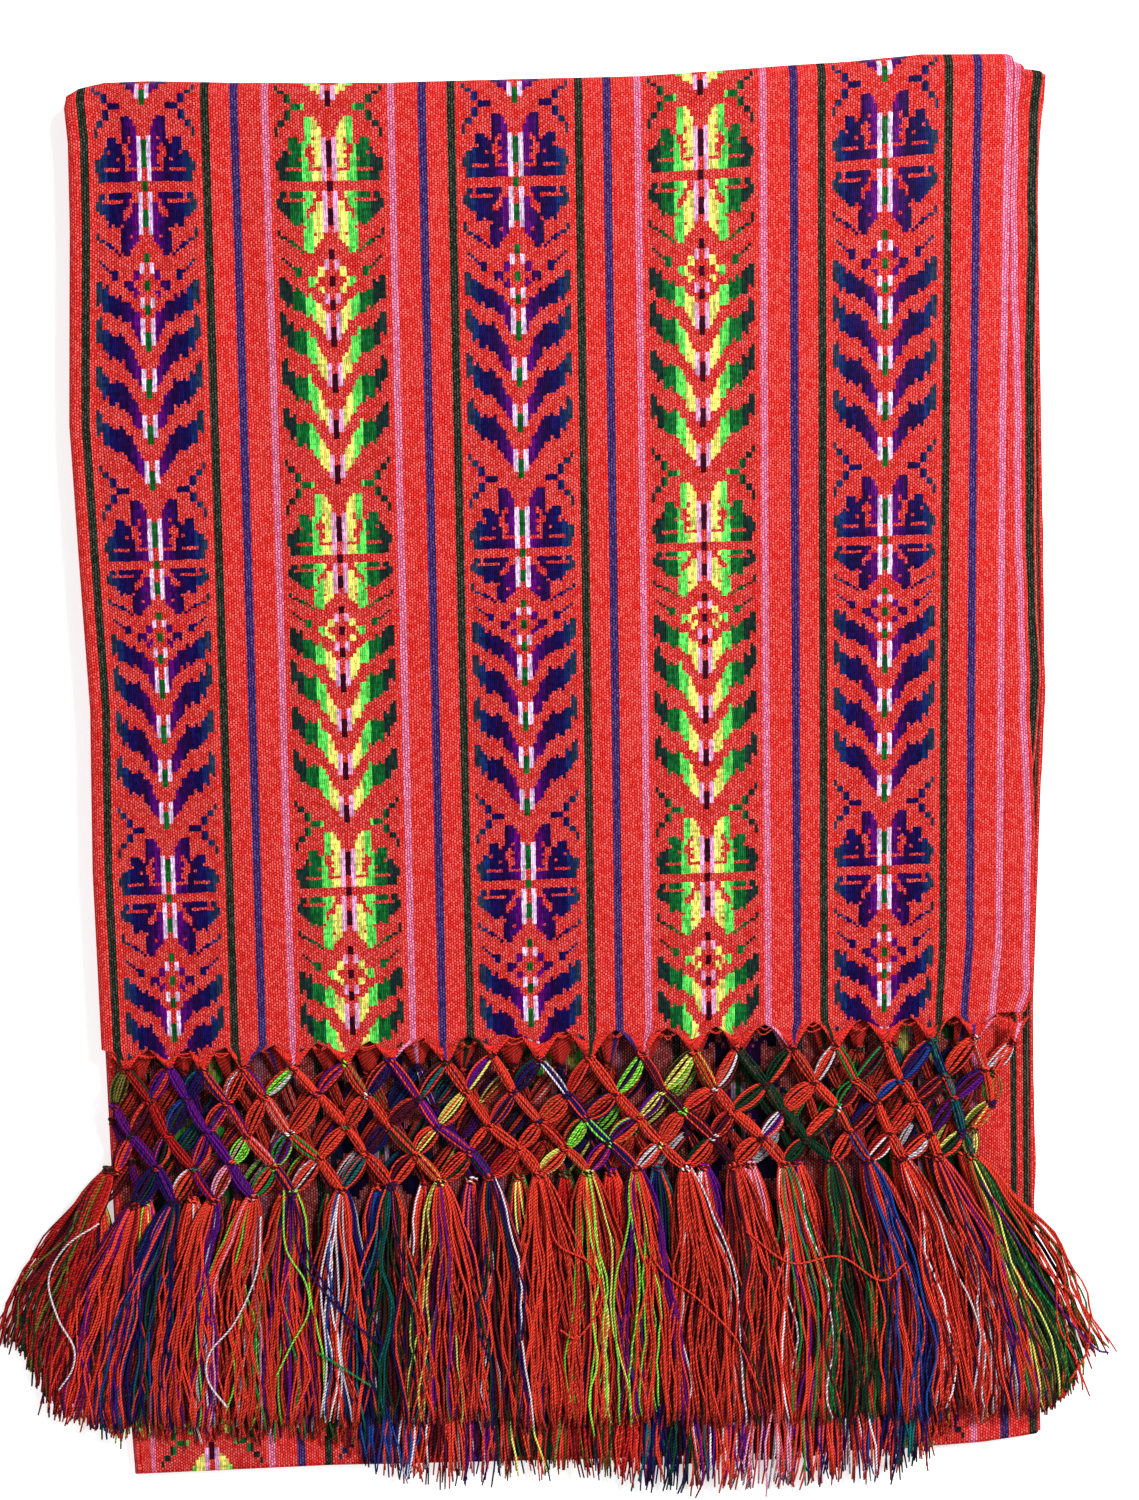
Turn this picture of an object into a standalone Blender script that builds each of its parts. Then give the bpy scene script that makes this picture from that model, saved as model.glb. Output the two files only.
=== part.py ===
"""A rebozo: one long woven shawl with a knotted and tasselled fringe at each end, lying folded flat.

The cloth is folded across its length, then along it, then across again, so eight layers lie on each other.
+X points to the selvedges, +Y to the upper fold and +Z up. The origin is the middle of the flat underside.
Sizes are in millimetres and become metres where a mesh is made.
"""
import math

import bpy

MM = 0.001

# The cloth and its folding
FOLDED_WIDTH = 360.0
UPPER_LENGTH = 353.0
LOWER_LENGTH = 530.0
LAYER = 1.5
SEAM = 0.3
LOWER_STACK = 7.5
UPPER_STACK = 6.6
SKEW = 0.0185

TOP_Y = LOWER_LENGTH / 2
BOTTOM_Y = -LOWER_LENGTH / 2
HEM_Y = TOP_Y - UPPER_LENGTH
UPPER_BASE = LOWER_STACK + SEAM
UPPER_TOP = UPPER_BASE + UPPER_STACK

# Rounding of the folds
LIP_RADIUS = UPPER_STACK / 2
LOWER_LIP = 3.6
NOSE = 7.0
HEM_LIP = 1.9
GROOVE = 0.9
NESTING = 0.5

# Plan outline: how far the upper fold rises above its mean line, and the lower one above its own
TOP_FOLD = (  # x, rise
    (-180, -0.9), (-163, 3.1), (-146, 3.1), (-92, 0.7), (-64, 0.3), (31, 0.5),
    (67, 1.7), (108, 3.6), (135, 5.7), (166, 3.6), (172, 0.0), (182, -1.8),
)
BOTTOM_FOLD = (
    (-180, 4.6), (-96, 4.3), (0, 1.6), (124, -0.6), (160, 0.5), (183, 3.0),
)
# How far each edge lies inside half the folded width, by the distance below the upper fold
SIDE_INSETS = (  # below, left fold, front selvedge, inner selvedge, lower selvedge
    (0, 2.0, 12.4, 2.6, -1.4),
    (20, 3.4, 12.6, 4.6, 1.1),
    (50, 2.9, 13.4, 5.4, 1.6),
    (120, -0.1, 14.2, 4.0, -0.1),
    (180, 1.9, 14.6, 2.8, -1.4),
    (225, 3.5, 14.7, 1.6, -2.4),
    (285, 1.9, 14.8, 2.6, -0.6),
    (350, 2.4, 14.8, 4.4, 1.2),
    (430, 3.4, 14.8, 4.4, 0.2),
    (530, 7.8, 14.8, 4.4, -3.2),
)
LEFT, FRONT_SELVEDGE, INNER_SELVEDGE, LOWER_SELVEDGE = 1, 2, 3, 4
INNER_STEPS = (-3.4, -1.2, 0.0)

# Low waves of the uppermost layer
WAVES = (  # height, length along x, length along y, phase
    (0.55, 155.0, 420.0, 0.6),
    (0.30, 88.0, -260.0, 2.1),
)

PANEL_COLUMNS = 20
PANEL_ROWS = 20
STACK_COLUMNS = 10
STACK_ROWS = 14

# Knotted net: places across of the first knots and of the tassel heads, even between these
FRONT_KNOTS = (  # number, x
    (0, -167), (3, -124), (17, 136), (19, 165),
)
FRONT_HEADS = (
    (0, -176), (1, -167), (3, -137), (5, -107), (14, 62), (16, 100), (20, 154),
)
UNDER_KNOTS = ((0, -164), (19, 171))
UNDER_HEADS = ((0, -172), (19, 166))
NET_ROWS_FRONT = (  # below the hem at the left, in the middle, at the right
    (7.0, 9.0, 10.0),
    (20.0, 23.0, 22.5),
    (34.0, 34.0, 33.5),
    (46.0, 44.7, 44.7),
    (60.0, 54.5, 55.0),
)
NET_ROWS_UNDER = (
    (12.0, 13.0, 13.0),
    (28.0, 28.0, 28.0),
    (43.0, 41.0, 41.0),
    (60.0, 56.0, 55.0),
)
HEADER_DEPTH = 2.4
BUNDLE_HALF_WIDTH = 5.6
KNOT_HALF = 1.5
KNOT_THICK = 1.45
LEAF_HALF_WIDTH = 2.5
LEAF_THICK = 1.15
FRONT_NET_Z = (13.2, 12.2)
UNDER_NET_Z = (9.3, 9.2)

# Tassels: where the tips of each layer reach, as the fan opens to both sides
FRONT_TIP_LINE = (  # x, below the hem
    (-221, 118), (-201, 144), (-172, 147), (0, 154), (87, 159), (165, 160), (195, 159), (207, 151), (210, 139),
)
UNDER_TIP_LINE = (
    (-196, 151), (-174, 158), (-147, 170), (-69, 176), (0, 181), (30, 184), (88, 184), (140, 178), (167, 173), (198, 168),
)
LOCKS = 5
HEAD_LENGTH = 4.5
HEAD_TOP_HALF = 1.7
HEAD_THICK = 1.3
LOCK_PITCH_AT_HEAD = 1.65
LOCK_FILL = 0.74
LOCK_HEIGHT = (2.5, 2.4, 1.3)
LENGTH_SPREAD = 0.05
FRONT_LOCK_Z = 11.2
UNDER_LOCK_Z = 7.9
FLOOR_CLEARANCE = 0.6
OVERHANG = 4.0
UNDER_DROP_RUN = 14.0
FRONT_DROP_RUN = 46.0

# Surface colours: red, green, blue
CORAL = (0.83, 0.06, 0.03)
DEEP_CORAL = (0.62, 0.04, 0.03)
TASSEL_COLOURS = (
    CORAL, (0.02, 0.09, 0.2), (0.2, 0.01, 0.25), (0.01, 0.12, 0.12), CORAL, (0.25, 0.6, 0.05), (0.75, 0.2, 0.3),
)


def clear_scene():
    for obj in list(bpy.data.objects):
        bpy.data.objects.remove(obj, do_unlink=True)


def read(table, key, column=1):
    """Straight-line reading of a table whose first column rises."""
    if key <= table[0][0]:
        return table[0][column]
    for low, high in zip(table, table[1:]):
        if key <= high[0]:
            share = (key - low[0]) / (high[0] - low[0])
            return low[column] + (high[column] - low[column]) * share
    return table[-1][column]


def mix(low, high, share):
    return low + (high - low) * share


def wave(x, y):
    return sum(height * math.sin(math.tau * (x / along_x + y / along_y) + phase)
               for height, along_x, along_y, phase in WAVES)


def material(name, colour):
    new = bpy.data.materials.new(name)
    new.use_nodes = True
    shader = new.node_tree.nodes["Principled BSDF"]
    shader.inputs["Base Color"].default_value = (*colour, 1.0)
    shader.inputs["Roughness"].default_value = 0.9
    shader.inputs["Metallic"].default_value = 0.0
    return new


def add_object(name, points, faces, surface):
    mesh = bpy.data.meshes.new(name)
    mesh.from_pydata([(x * MM, y * MM, z * MM) for x, y, z in points], [], faces)
    mesh.validate()
    mesh.materials.append(surface)
    obj = bpy.data.objects.new(name, mesh)
    bpy.context.scene.collection.objects.link(obj)
    return obj


def side_edge(below, column):
    """Where the left fold or one of the selvedges lies, some way below the upper fold."""
    reach = FOLDED_WIDTH / 2 - read(SIDE_INSETS, below, column)
    return -reach if column == LEFT else reach


def hem(_):
    return HEM_Y


def bottom(x):
    return BOTTOM_Y + read(BOTTOM_FOLD, x)


def plan_point(u, v, right_column, foot, insets):
    """A point of the folded outline: u runs from the left fold to the right, v from the upper fold down."""
    left_in, right_in, top_in, bottom_in = insets
    level_y = mix(TOP_Y, foot(0.0), v)
    left = side_edge(TOP_Y - level_y, LEFT) + left_in
    right = side_edge(TOP_Y - level_y, right_column) - right_in
    x = mix(left, right, u)
    top = TOP_Y + read(TOP_FOLD, x) - top_in
    y = mix(top, foot(x) + bottom_in, v) + SKEW * x
    return x, y


def half_round(share):
    """Inset of a half-round edge, as a share of its radius; share runs from 0 at its top to 1 at its foot."""
    return 1.0 - math.sqrt(max(0.0, 1.0 - (2.0 * share - 1.0) ** 2))


def quarter_round(share):
    """Inset of a quarter-round edge, as a share of its radius; share is 1 at its flat end and 0 at its upright end."""
    return 1.0 - math.sqrt(max(0.0, 1.0 - share ** 2))


def grid_faces(columns, rows):
    """Faces of a grid whose points are numbered row by row, seen from above with rows running down the plan."""
    wide = columns + 1
    return [(j * wide + i, (j + 1) * wide + i, (j + 1) * wide + i + 1, j * wide + i + 1)
            for j in range(rows) for i in range(columns)]


def rim_cells(columns, rows):
    """The grid's outermost cells in turn: down the left side, along the foot, up the right side and back."""
    left = [(0, j) for j in range(rows)]
    foot = [(i, rows) for i in range(columns)]
    right = [(columns, j) for j in range(rows, 0, -1)]
    top = [(i, 0) for i in range(columns, 0, -1)]
    return left + foot + right + top


def layered_stack(name, columns, rows, levels, outline, top_height, surface):
    """A closed solid of lying layers: a grid on top, a ring at each level below it and one flat underside."""
    wide = columns + 1
    points = []
    for j in range(rows + 1):
        for i in range(wide):
            x, y = outline(i / columns, j / rows, levels[0])
            points.append((x, y, top_height(x, y)))
    faces = grid_faces(columns, rows)
    cells = rim_cells(columns, rows)
    upper = [j * wide + i for i, j in cells]
    base, top = levels[-1], levels[0]
    for level in levels[1:]:
        ring = []
        for i, j in cells:
            x, y = outline(i / columns, j / rows, level)
            lift = (top_height(x, y) - top) * (level - base) / (top - base)
            ring.append(len(points))
            points.append((x, y, level + lift))
        for here, (a, b) in enumerate(zip(upper, ring)):
            after = (here + 1) % len(ring)
            faces.append((a, b, ring[after], upper[after]))
        upper = ring
    faces.append(tuple(reversed(upper)))
    return add_object(name, points, faces, surface)


def back_fold():
    """The four lower layers: a rolled fold on the left, four selvedges on the right and two rolled folds below."""
    steps = 8
    levels = [LOWER_STACK * (1 - step / steps) for step in range(steps + 1)]

    def outline(u, v, level):
        share = 1.0 - level / LOWER_STACK
        step = round(share * steps)
        selvedge = GROOVE if step % 2 == 0 else 0.0
        rolls = half_round((share * 2) % 1.0 if 0 < share < 1 else 0.0)
        insets = (LOWER_LIP * half_round(share), selvedge, NOSE * quarter_round(share), HEM_LIP * rolls)
        return plan_point(u, v, LOWER_SELVEDGE, bottom, insets)

    return layered_stack("back_fold", STACK_COLUMNS, STACK_ROWS, levels, outline,
                         lambda x, y: LOWER_STACK, material("lower_cloth", CORAL))


def inner_layers():
    """The three layers inside the front one, which show as stepped selvedges on the right."""
    layers = len(INNER_STEPS)
    inner_top = UPPER_TOP - LAYER - SEAM
    height = inner_top - UPPER_BASE
    levels = [inner_top - height * step / (2 * layers) for step in range(2 * layers + 1)]
    lip_centre = UPPER_BASE + LIP_RADIUS
    lip = LIP_RADIUS - LAYER - NESTING

    def outline(u, v, level):
        step = round((inner_top - level) / height * 2 * layers)
        reach = INNER_STEPS[min(step // 2, layers - 1)]
        selvedge = (GROOVE if step % 2 == 0 else 0.0) - reach
        from_centre = (level - lip_centre) / lip
        inside = lip * math.sqrt(1 - from_centre ** 2) if abs(from_centre) < 1 else 0.0
        left = LIP_RADIUS - inside if level > lip_centre - lip else LIP_RADIUS + NESTING
        share = (level - UPPER_BASE) / height
        nose = LAYER + NESTING + (NOSE - LAYER - NESTING) * quarter_round(share)
        return plan_point(u, v, INNER_SELVEDGE, hem, (left, selvedge, nose, 0.0))

    return layered_stack("inner_layers", PANEL_COLUMNS, PANEL_ROWS, levels, outline,
                         lambda x, y: inner_top + wave(x, y), material("inner_cloth", DEEP_CORAL))


def front_layer():
    """The uppermost layer: a wall that lies on the stack and rolls round its left and upper folds."""
    angles = [math.radians(angle) for angle in (0, 27, 53, 80, 107, 133, 158)]
    wide = PANEL_COLUMNS + 1
    folded_edge = [(0, j) for j in range(PANEL_ROWS, 0, -1)] + [(i, 0) for i in range(wide)]
    lip_centre = UPPER_BASE + LIP_RADIUS
    sides = {}
    for side, depth in (("outer", 0.0), ("inner", LAYER)):
        points = []
        lip = LIP_RADIUS - depth
        nose = NOSE - depth
        for j in range(PANEL_ROWS + 1):
            for i in range(wide):
                x, y = plan_point(i / PANEL_COLUMNS, j / PANEL_ROWS, FRONT_SELVEDGE, hem,
                                  (LIP_RADIUS, 0.0, NOSE, 0.0))
                points.append((x, y, UPPER_TOP - depth + wave(x, y)))
        for angle in angles[1:]:
            lip_z = lip_centre + lip * math.cos(angle)
            share = (lip_centre + LIP_RADIUS * math.cos(angle) - UPPER_BASE) / UPPER_STACK
            nose_z = UPPER_BASE + (UPPER_STACK - depth) * share
            for i, j in folded_edge:
                insets = (LIP_RADIUS - lip * math.sin(angle) if i == 0 else 0.0, 0.0,
                          depth + nose * quarter_round(share) if j == 0 else 0.0, 0.0)
                x, y = plan_point(i / PANEL_COLUMNS, j / PANEL_ROWS, FRONT_SELVEDGE, hem, insets)
                z = nose_z if j == 0 else lip_z
                points.append((x, y, z + wave(x, y) * share))
        sides[side] = points
    faces = grid_faces(PANEL_COLUMNS, PANEL_ROWS)
    upper = [j * wide + i for i, j in folded_edge]
    start = wide * (PANEL_ROWS + 1)
    for _ in angles[1:]:
        ring = list(range(start, start + len(folded_edge)))
        faces += [(upper[n + 1], ring[n + 1], ring[n], upper[n]) for n in range(len(ring) - 1)]
        upper = ring
        start += len(folded_edge)
    return add_object("front_layer", *closed_wall(sides["outer"], sides["inner"], faces),
                      material("front_cloth", CORAL))


def closed_wall(outer, inner, faces):
    """Joins two matching skins of a wall along their open edges."""
    count = len(outer)
    edges = {(a, b) for face in faces for a, b in zip(face, face[1:] + face[:1])}
    open_edges = [(a, b) for a, b in edges if (b, a) not in edges]
    inside = [tuple(point + count for point in reversed(face)) for face in faces]
    rim = [(b, a, a + count, b + count) for a, b in sorted(open_edges)]
    return outer + inner, faces + inside + rim


class Net:
    """A knotted net: a flat sheet of leaf-shaped strands, full along its middle lines and thin at its edges."""

    def __init__(self):
        self.points = []
        self.faces = []

    def edge_point(self, x, y, z):
        self.points.append((x, y, z))
        return (len(self.points) - 1,) * 2

    def middle_point(self, x, y, z, thick):
        self.points += [(x, y, z + thick), (x, y, z - thick)]
        return len(self.points) - 2, len(self.points) - 1

    def patch(self, *corners):
        """A patch of both skins, its corners counter-clockwise from above."""
        for third in range(2, len(corners)):
            a, b, c = corners[0], corners[third - 1], corners[third]
            self.faces.append((a[0], b[0], c[0]))
            self.faces.append((c[1], b[1], a[1]))


def places_across(table):
    """The place of each numbered knot or head of a row."""
    return [read(table, number) for number in range(table[-1][0] + 1)]


def knot_places(first_row, last_row, rows):
    """Knots row by row: the odd rows have one knot more, between and outside those above."""
    last = len(rows) - 1
    places = []
    for number, depths in enumerate(rows):
        across = [mix(upper, lower, number / last) for upper, lower in zip(first_row, last_row)]
        left_end, right_end = across[0], across[-1]
        if number % 2:
            inner = [(here + after) / 2 for here, after in zip(across, across[1:])]
            across = [2 * left_end - inner[0]] + inner + [2 * right_end - inner[-1]]
        row = []
        for x in across:
            share = (x - left_end) / (right_end - left_end)
            left, middle, right = depths
            depth = mix(left, middle, share * 2) if share < 0.5 else mix(middle, right, share * 2 - 1)
            row.append((x, HEM_Y - depth + SKEW * x))
        places.append(row)
    return places


def strand(net, upper, lower, z, to_right):
    """A leaf-shaped strand from an upper knot down to a lower one."""
    (upper_x, upper_y), (lower_x, lower_y) = upper["at"], lower["at"]
    middle_x, middle_y = (upper_x + lower_x) / 2, (upper_y + lower_y) / 2
    length = math.hypot(lower_x - upper_x, lower_y - upper_y)
    side_x = -(lower_y - upper_y) / length * LEAF_HALF_WIDTH
    side_y = (lower_x - upper_x) / length * LEAF_HALF_WIDTH
    ridge = net.middle_point(middle_x, middle_y, z, LEAF_THICK)
    left_of_way = net.edge_point(middle_x + side_x, middle_y + side_y, z)
    right_of_way = net.edge_point(middle_x - side_x, middle_y - side_y, z)
    if to_right:
        upper_left, upper_right, lower_left, lower_right = upper["E"], upper["S"], lower["N"], lower["W"]
    else:
        upper_left, upper_right, lower_left, lower_right = upper["S"], upper["W"], lower["E"], lower["N"]
    net.patch(upper["K"], ridge, left_of_way, upper_left)
    net.patch(upper["K"], upper_right, right_of_way, ridge)
    net.patch(lower["K"], lower_left, left_of_way, ridge)
    net.patch(lower["K"], ridge, right_of_way, lower_right)
    upper["used"].add("SE" if to_right else "SW")
    lower["used"].add("NW" if to_right else "NE")


def add_header(net, first_row, z):
    """The narrow strip along the cloth's end, with a bundle of warps drawn down to each first knot."""
    columns = []
    for knot in first_row:
        x = knot["at"][0]
        columns += [(x - BUNDLE_HALF_WIDTH, None), (x, knot), (x + BUNDLE_HALF_WIDTH, None)]
    previous = None
    for number, (x, _) in enumerate(columns):
        upper_y = HEM_Y - SEAM + SKEW * x
        closed_end = number in (0, len(columns) - 1)
        upper = net.edge_point(x, upper_y, z)
        if closed_end:
            middle = net.edge_point(x, upper_y - HEADER_DEPTH / 2, z)
        else:
            middle = net.middle_point(x, upper_y - HEADER_DEPTH / 2, z, LAYER / 2)
        if number % 3 == 1:
            low = net.middle_point(x, upper_y - HEADER_DEPTH, z, LAYER / 2)
        else:
            low = net.edge_point(x, upper_y - HEADER_DEPTH, z)
        if previous:
            cell = (previous[1], middle, upper, previous[0])
            net.patch(*(cell if number > 1 else cell[1:] + cell[:1]))
            net.patch(previous[1], previous[2], low, middle)
        previous = (upper, middle, low)
        columns[number] = low
    for number, knot in enumerate(first_row):
        left, middle, right = columns[3 * number:3 * number + 3]
        net.patch(knot["K"], middle, left, knot["W"])
        net.patch(knot["K"], knot["E"], right, middle)
        knot["used"] |= {"NW", "NE"}


def knotted_net(name, places, heights, surface, outer_tassel=False):
    """A whole net, from its header strip to the knots that its tassels hang from.

    With an outer tassel, the leftmost knot of the row before the last carries a tassel and no strand.
    """
    net = Net()
    last = len(places) - 1
    rows = []
    for number, row in enumerate(places):
        z = mix(heights[0], heights[1], min(1.0, number / 2))
        knots = []
        for x, y in row:
            knot = {"at": (x, y), "used": set(), "K": net.middle_point(x, y, z, KNOT_THICK)}
            for corner, side_x, side_y in (("N", 0, 1), ("E", 1, 0), ("S", 0, -1), ("W", -1, 0)):
                if corner == "N" and number == 0:
                    continue
                knot[corner] = net.edge_point(x + side_x * KNOT_HALF, y + side_y * KNOT_HALF, z)
            knots.append(knot)
        rows.append(knots)
    add_header(net, rows[0], heights[0])
    for number in range(last):
        z = mix(heights[0], heights[1], min(1.0, (number + 0.5) / 2))
        shift = 1 - number % 2
        for place, knot in enumerate(rows[number]):
            left, right = place - 1 + shift, place + shift
            if left >= 0:
                strand(net, knot, rows[number + 1][left], z, False)
            tied_off = outer_tassel and number == last - 1 and place == 0
            if right < len(rows[number + 1]) and not tied_off:
                strand(net, knot, rows[number + 1][right], z, True)
    for knot in (knot for row in rows for knot in row):
        for side, after, before in (("NE", "N", "E"), ("SE", "E", "S"), ("SW", "S", "W"), ("NW", "W", "N")):
            if side not in knot["used"]:
                net.patch(knot["K"], knot[before], knot[after])
    return add_object(name, net.points, net.faces, surface)


def fan_between(left, right, chain):
    """Triangles that fill the way from two points to a chain of points, which runs from left to right."""
    half = len(chain) // 2
    faces = [(left, chain[n], chain[n + 1]) for n in range(half)]
    faces.append((left, chain[half], right))
    faces += [(right, chain[n], chain[n + 1]) for n in range(half, len(chain) - 1)]
    return faces


def uneven(number, salt):
    """A repeatable value from -1 to 1 that differs from lock to lock."""
    return math.sin(number * 12.9898 + salt * 4.1414) * math.cos(number * 3.77 + salt)


def past_edge(x, y):
    """How far a point lies outside the place where locks begin to sink, just past the stack's edge."""
    below = TOP_Y - y
    return max(side_edge(below, LEFT) - x, x - side_edge(below, LOWER_SELVEDGE),
               bottom(x) + SKEW * x - y) - OVERHANG


def drop(x, y, run, height):
    """How far a lock has sunk below the stack's top."""
    share = min(1.0, max(0.0, past_edge(x, y)) / run)
    return height * share * share * (3 - 2 * share)


def lock_shares(start, end):
    """Where a lock has its rings, as shares of its length: one of them is where it begins to sink."""
    if past_edge(*end) <= 0:
        return 0.0, 0.4, 1.0
    low, high = 0.0, 1.0
    for _ in range(12):
        middle = (low + high) / 2
        if past_edge(mix(start[0], end[0], middle), mix(start[1], end[1], middle)) > 0:
            high = middle
        else:
            low = middle
    return 0.0, low / 2, low, mix(low, 1.0, 0.35), mix(low, 1.0, 0.7), 1.0


def tassel(name, head, tips, lock_z, run, first_lock, surface):
    """A tassel: a wrapped head and the locks that spread from it, each of three sides."""
    head_x, head_y = head
    root_y = head_y - HEAD_LENGTH
    middle_z = lock_z + HEAD_THICK
    points = [(head_x + side * HEAD_TOP_HALF, head_y, middle_z + up * HEAD_THICK * 0.8)
              for side in (-1, 1) for up in (1, -1)]
    upper_left, lower_left, upper_right, lower_right = range(4)
    faces = [(upper_left, upper_right, lower_right, lower_left)]
    lows, ridges = [], []
    for lock in range(LOCKS):
        root_x = head_x + (lock - (LOCKS - 1) / 2) * LOCK_PITCH_AT_HEAD
        tip_x, tip_y, pitch_at_tip = tips[lock]
        reach = 1.0 + LENGTH_SPREAD * (uneven(first_lock + lock, lock_z) - 0.6)
        end_x, end_y = root_x + (tip_x - root_x) * reach, root_y + (tip_y - root_y) * reach
        above = None
        for share in lock_shares((root_x, root_y), (end_x, end_y)):
            x, y = mix(root_x, end_x, share), mix(root_y, end_y, share)
            half = mix(LOCK_PITCH_AT_HEAD, pitch_at_tip, share) * LOCK_FILL / 2
            z = lock_z - drop(x, y, run, lock_z - FLOOR_CLEARANCE)
            height = mix(LOCK_HEIGHT[0], LOCK_HEIGHT[1], share * 2) if share < 0.5 else \
                mix(LOCK_HEIGHT[1], LOCK_HEIGHT[2], share * 2 - 1)
            ring = [len(points), len(points) + 1, len(points) + 2]
            points += [(x - half, y, z), (x + half, y, z), (x, y, z + height)]
            if above:
                for a, b in ((0, 1), (1, 2), (2, 0)):
                    faces.append((above[a], above[b], ring[b], ring[a]))
            else:
                lows += ring[:2]
                ridges.append(ring[2])
            above = ring
        faces.append(tuple(above))
    faces += fan_between(upper_left, upper_right, ridges)
    faces += [(c, b, a) for a, b, c in fan_between(lower_left, lower_right, lows)]
    faces.append((upper_left, lower_left, lows[0], ridges[0]))
    faces.append((lower_right, upper_right, ridges[-1], lows[-1]))
    for lock in range(LOCKS - 1):
        faces.append((lows[2 * lock + 1], lows[2 * lock + 2], ridges[lock + 1], ridges[lock]))
    return add_object(name, points, faces, surface)


def tassel_row(prefix, heads, tip_line, lock_z, run, surfaces):
    """Tassels side by side, whose locks keep their order across, so that none crosses another."""
    total = len(heads) * LOCKS
    first_x, last_x = tip_line[0][0], tip_line[-1][0]
    pitch = (last_x - first_x) / (total - 1)
    for number, (head_x, head_y) in enumerate(heads):
        tips = []
        for lock in range(LOCKS):
            x = first_x + pitch * (number * LOCKS + lock)
            tips.append((x, HEM_Y - read(tip_line, x) + SKEW * x, pitch))
        tassel(f"{prefix}_{number + 1:02d}", (head_x, head_y - KNOT_HALF - SEAM), tips, lock_z, run,
               number * LOCKS, surfaces[number % len(surfaces)])


def build():
    clear_scene()
    back_fold()
    inner_layers()
    front_layer()
    outer_head, *heads = places_across(FRONT_HEADS)
    front = knot_places(places_across(FRONT_KNOTS), heads, NET_ROWS_FRONT)
    under = knot_places(places_across(UNDER_KNOTS), places_across(UNDER_HEADS), NET_ROWS_UNDER)
    knotted_net("front_lattice", front, FRONT_NET_Z, material("front_knots", CORAL), outer_tassel=True)
    knotted_net("under_lattice", under, UNDER_NET_Z, material("under_knots", DEEP_CORAL))
    surfaces = [material(f"yarn_{number + 1}", colour) for number, colour in enumerate(TASSEL_COLOURS)]
    outer_knot = (outer_head, front[-2][0][1])
    tassel_row("tassel_front", [outer_knot] + front[-1], FRONT_TIP_LINE, FRONT_LOCK_Z, FRONT_DROP_RUN, surfaces)
    tassel_row("tassel_under", under[-1], UNDER_TIP_LINE, UNDER_LOCK_Z, UNDER_DROP_RUN, surfaces)


build()
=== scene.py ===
"""Looks of a folded rebozo: striped and flowered cloth, two knotted nets and their yarn tassels.

Sizes are in millimetres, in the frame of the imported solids, and become metres where a mesh is made.
The plan of the folded cloth is worked out as the solids' own plan is, from nearly the same sizes.
"""

import math

import bpy
import numpy as np
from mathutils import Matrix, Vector


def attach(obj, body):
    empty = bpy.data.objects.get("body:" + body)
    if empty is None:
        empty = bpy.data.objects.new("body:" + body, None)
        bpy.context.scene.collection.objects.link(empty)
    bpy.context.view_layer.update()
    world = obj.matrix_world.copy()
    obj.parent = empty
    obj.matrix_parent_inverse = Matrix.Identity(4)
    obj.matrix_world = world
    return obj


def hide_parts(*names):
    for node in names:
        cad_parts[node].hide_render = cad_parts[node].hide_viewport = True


MM = 0.001

# The cloth and its folding, close to the solids' own plan
FOLDED_WIDTH = 360.0
UPPER_LENGTH = 353.0
LOWER_LENGTH = 530.0
SEAM = 0.3
LOWER_STACK = 7.5
UPPER_STACK = 6.6
SKEW = 0.0185
TOP_Y = LOWER_LENGTH / 2
BOTTOM_Y = -LOWER_LENGTH / 2
HEM_Y = TOP_Y - UPPER_LENGTH
UPPER_BASE = LOWER_STACK + SEAM
UPPER_TOP = UPPER_BASE + UPPER_STACK
LIP_RADIUS = UPPER_STACK / 2
LOWER_LIP = 3.6
NOSE = 7.0
HEM_LIP = 1.9
SELVEDGE_DEPTH = 2.2
TURN_HEIGHT = 7.15  # the height that the upper fold turns about
TOP_ROLL = 9.4  # radius that the weave takes over the upper fold
FRONT_LINES = (-179.5 + LIP_RADIUS, 166.4)  # where the weave of a layer ends, left and right
LOWER_LINES = (-176.0 + LOWER_LIP, 181.0)
TOP_FOLD = (  # x, rise
    (-180, -0.9), (-163, 3.1), (-146, 3.1), (-92, 0.7), (-64, 0.3), (31, 0.5),
    (67, 1.7), (108, 3.6), (135, 5.7), (166, 5.0), (172, 2.6), (182, 1.2),
)
BOTTOM_FOLD = (  # x, rise
    (-180, 4.6), (-96, 4.3), (0, 1.6), (124, -0.6), (160, 0.5), (183, 3.0),
)
SIDE_INSETS = (  # below, left fold, front selvedge, inner selvedge, lower selvedge
    (0, 2.0, 12.4, 2.6, -1.4),
    (20, 3.4, 12.6, 4.6, 1.1),
    (50, 2.9, 13.4, 5.4, 1.6),
    (120, -0.1, 14.2, 4.0, -0.1),
    (180, 1.9, 14.6, 2.8, -1.4),
    (225, 3.5, 14.7, 1.6, -2.4),
    (285, 1.9, 14.8, 2.6, -0.6),
    (325, 2.2, 14.8, 3.7, 0.5),
    (350, 2.4, 17.0, 4.4, 1.2),
    (430, 3.4, 14.8, 4.4, 0.2),
    (530, 7.8, 14.8, 4.4, -3.2),
)
LEFT, FRONT_SELVEDGE, INNER_SELVEDGE, LOWER_SELVEDGE = 1, 2, 3, 4
WAVES = (  # height, length along x, length along y, phase
    (0.55, 155.0, 420.0, 0.6),
    (0.30, 88.0, -260.0, 2.1),
)

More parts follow.
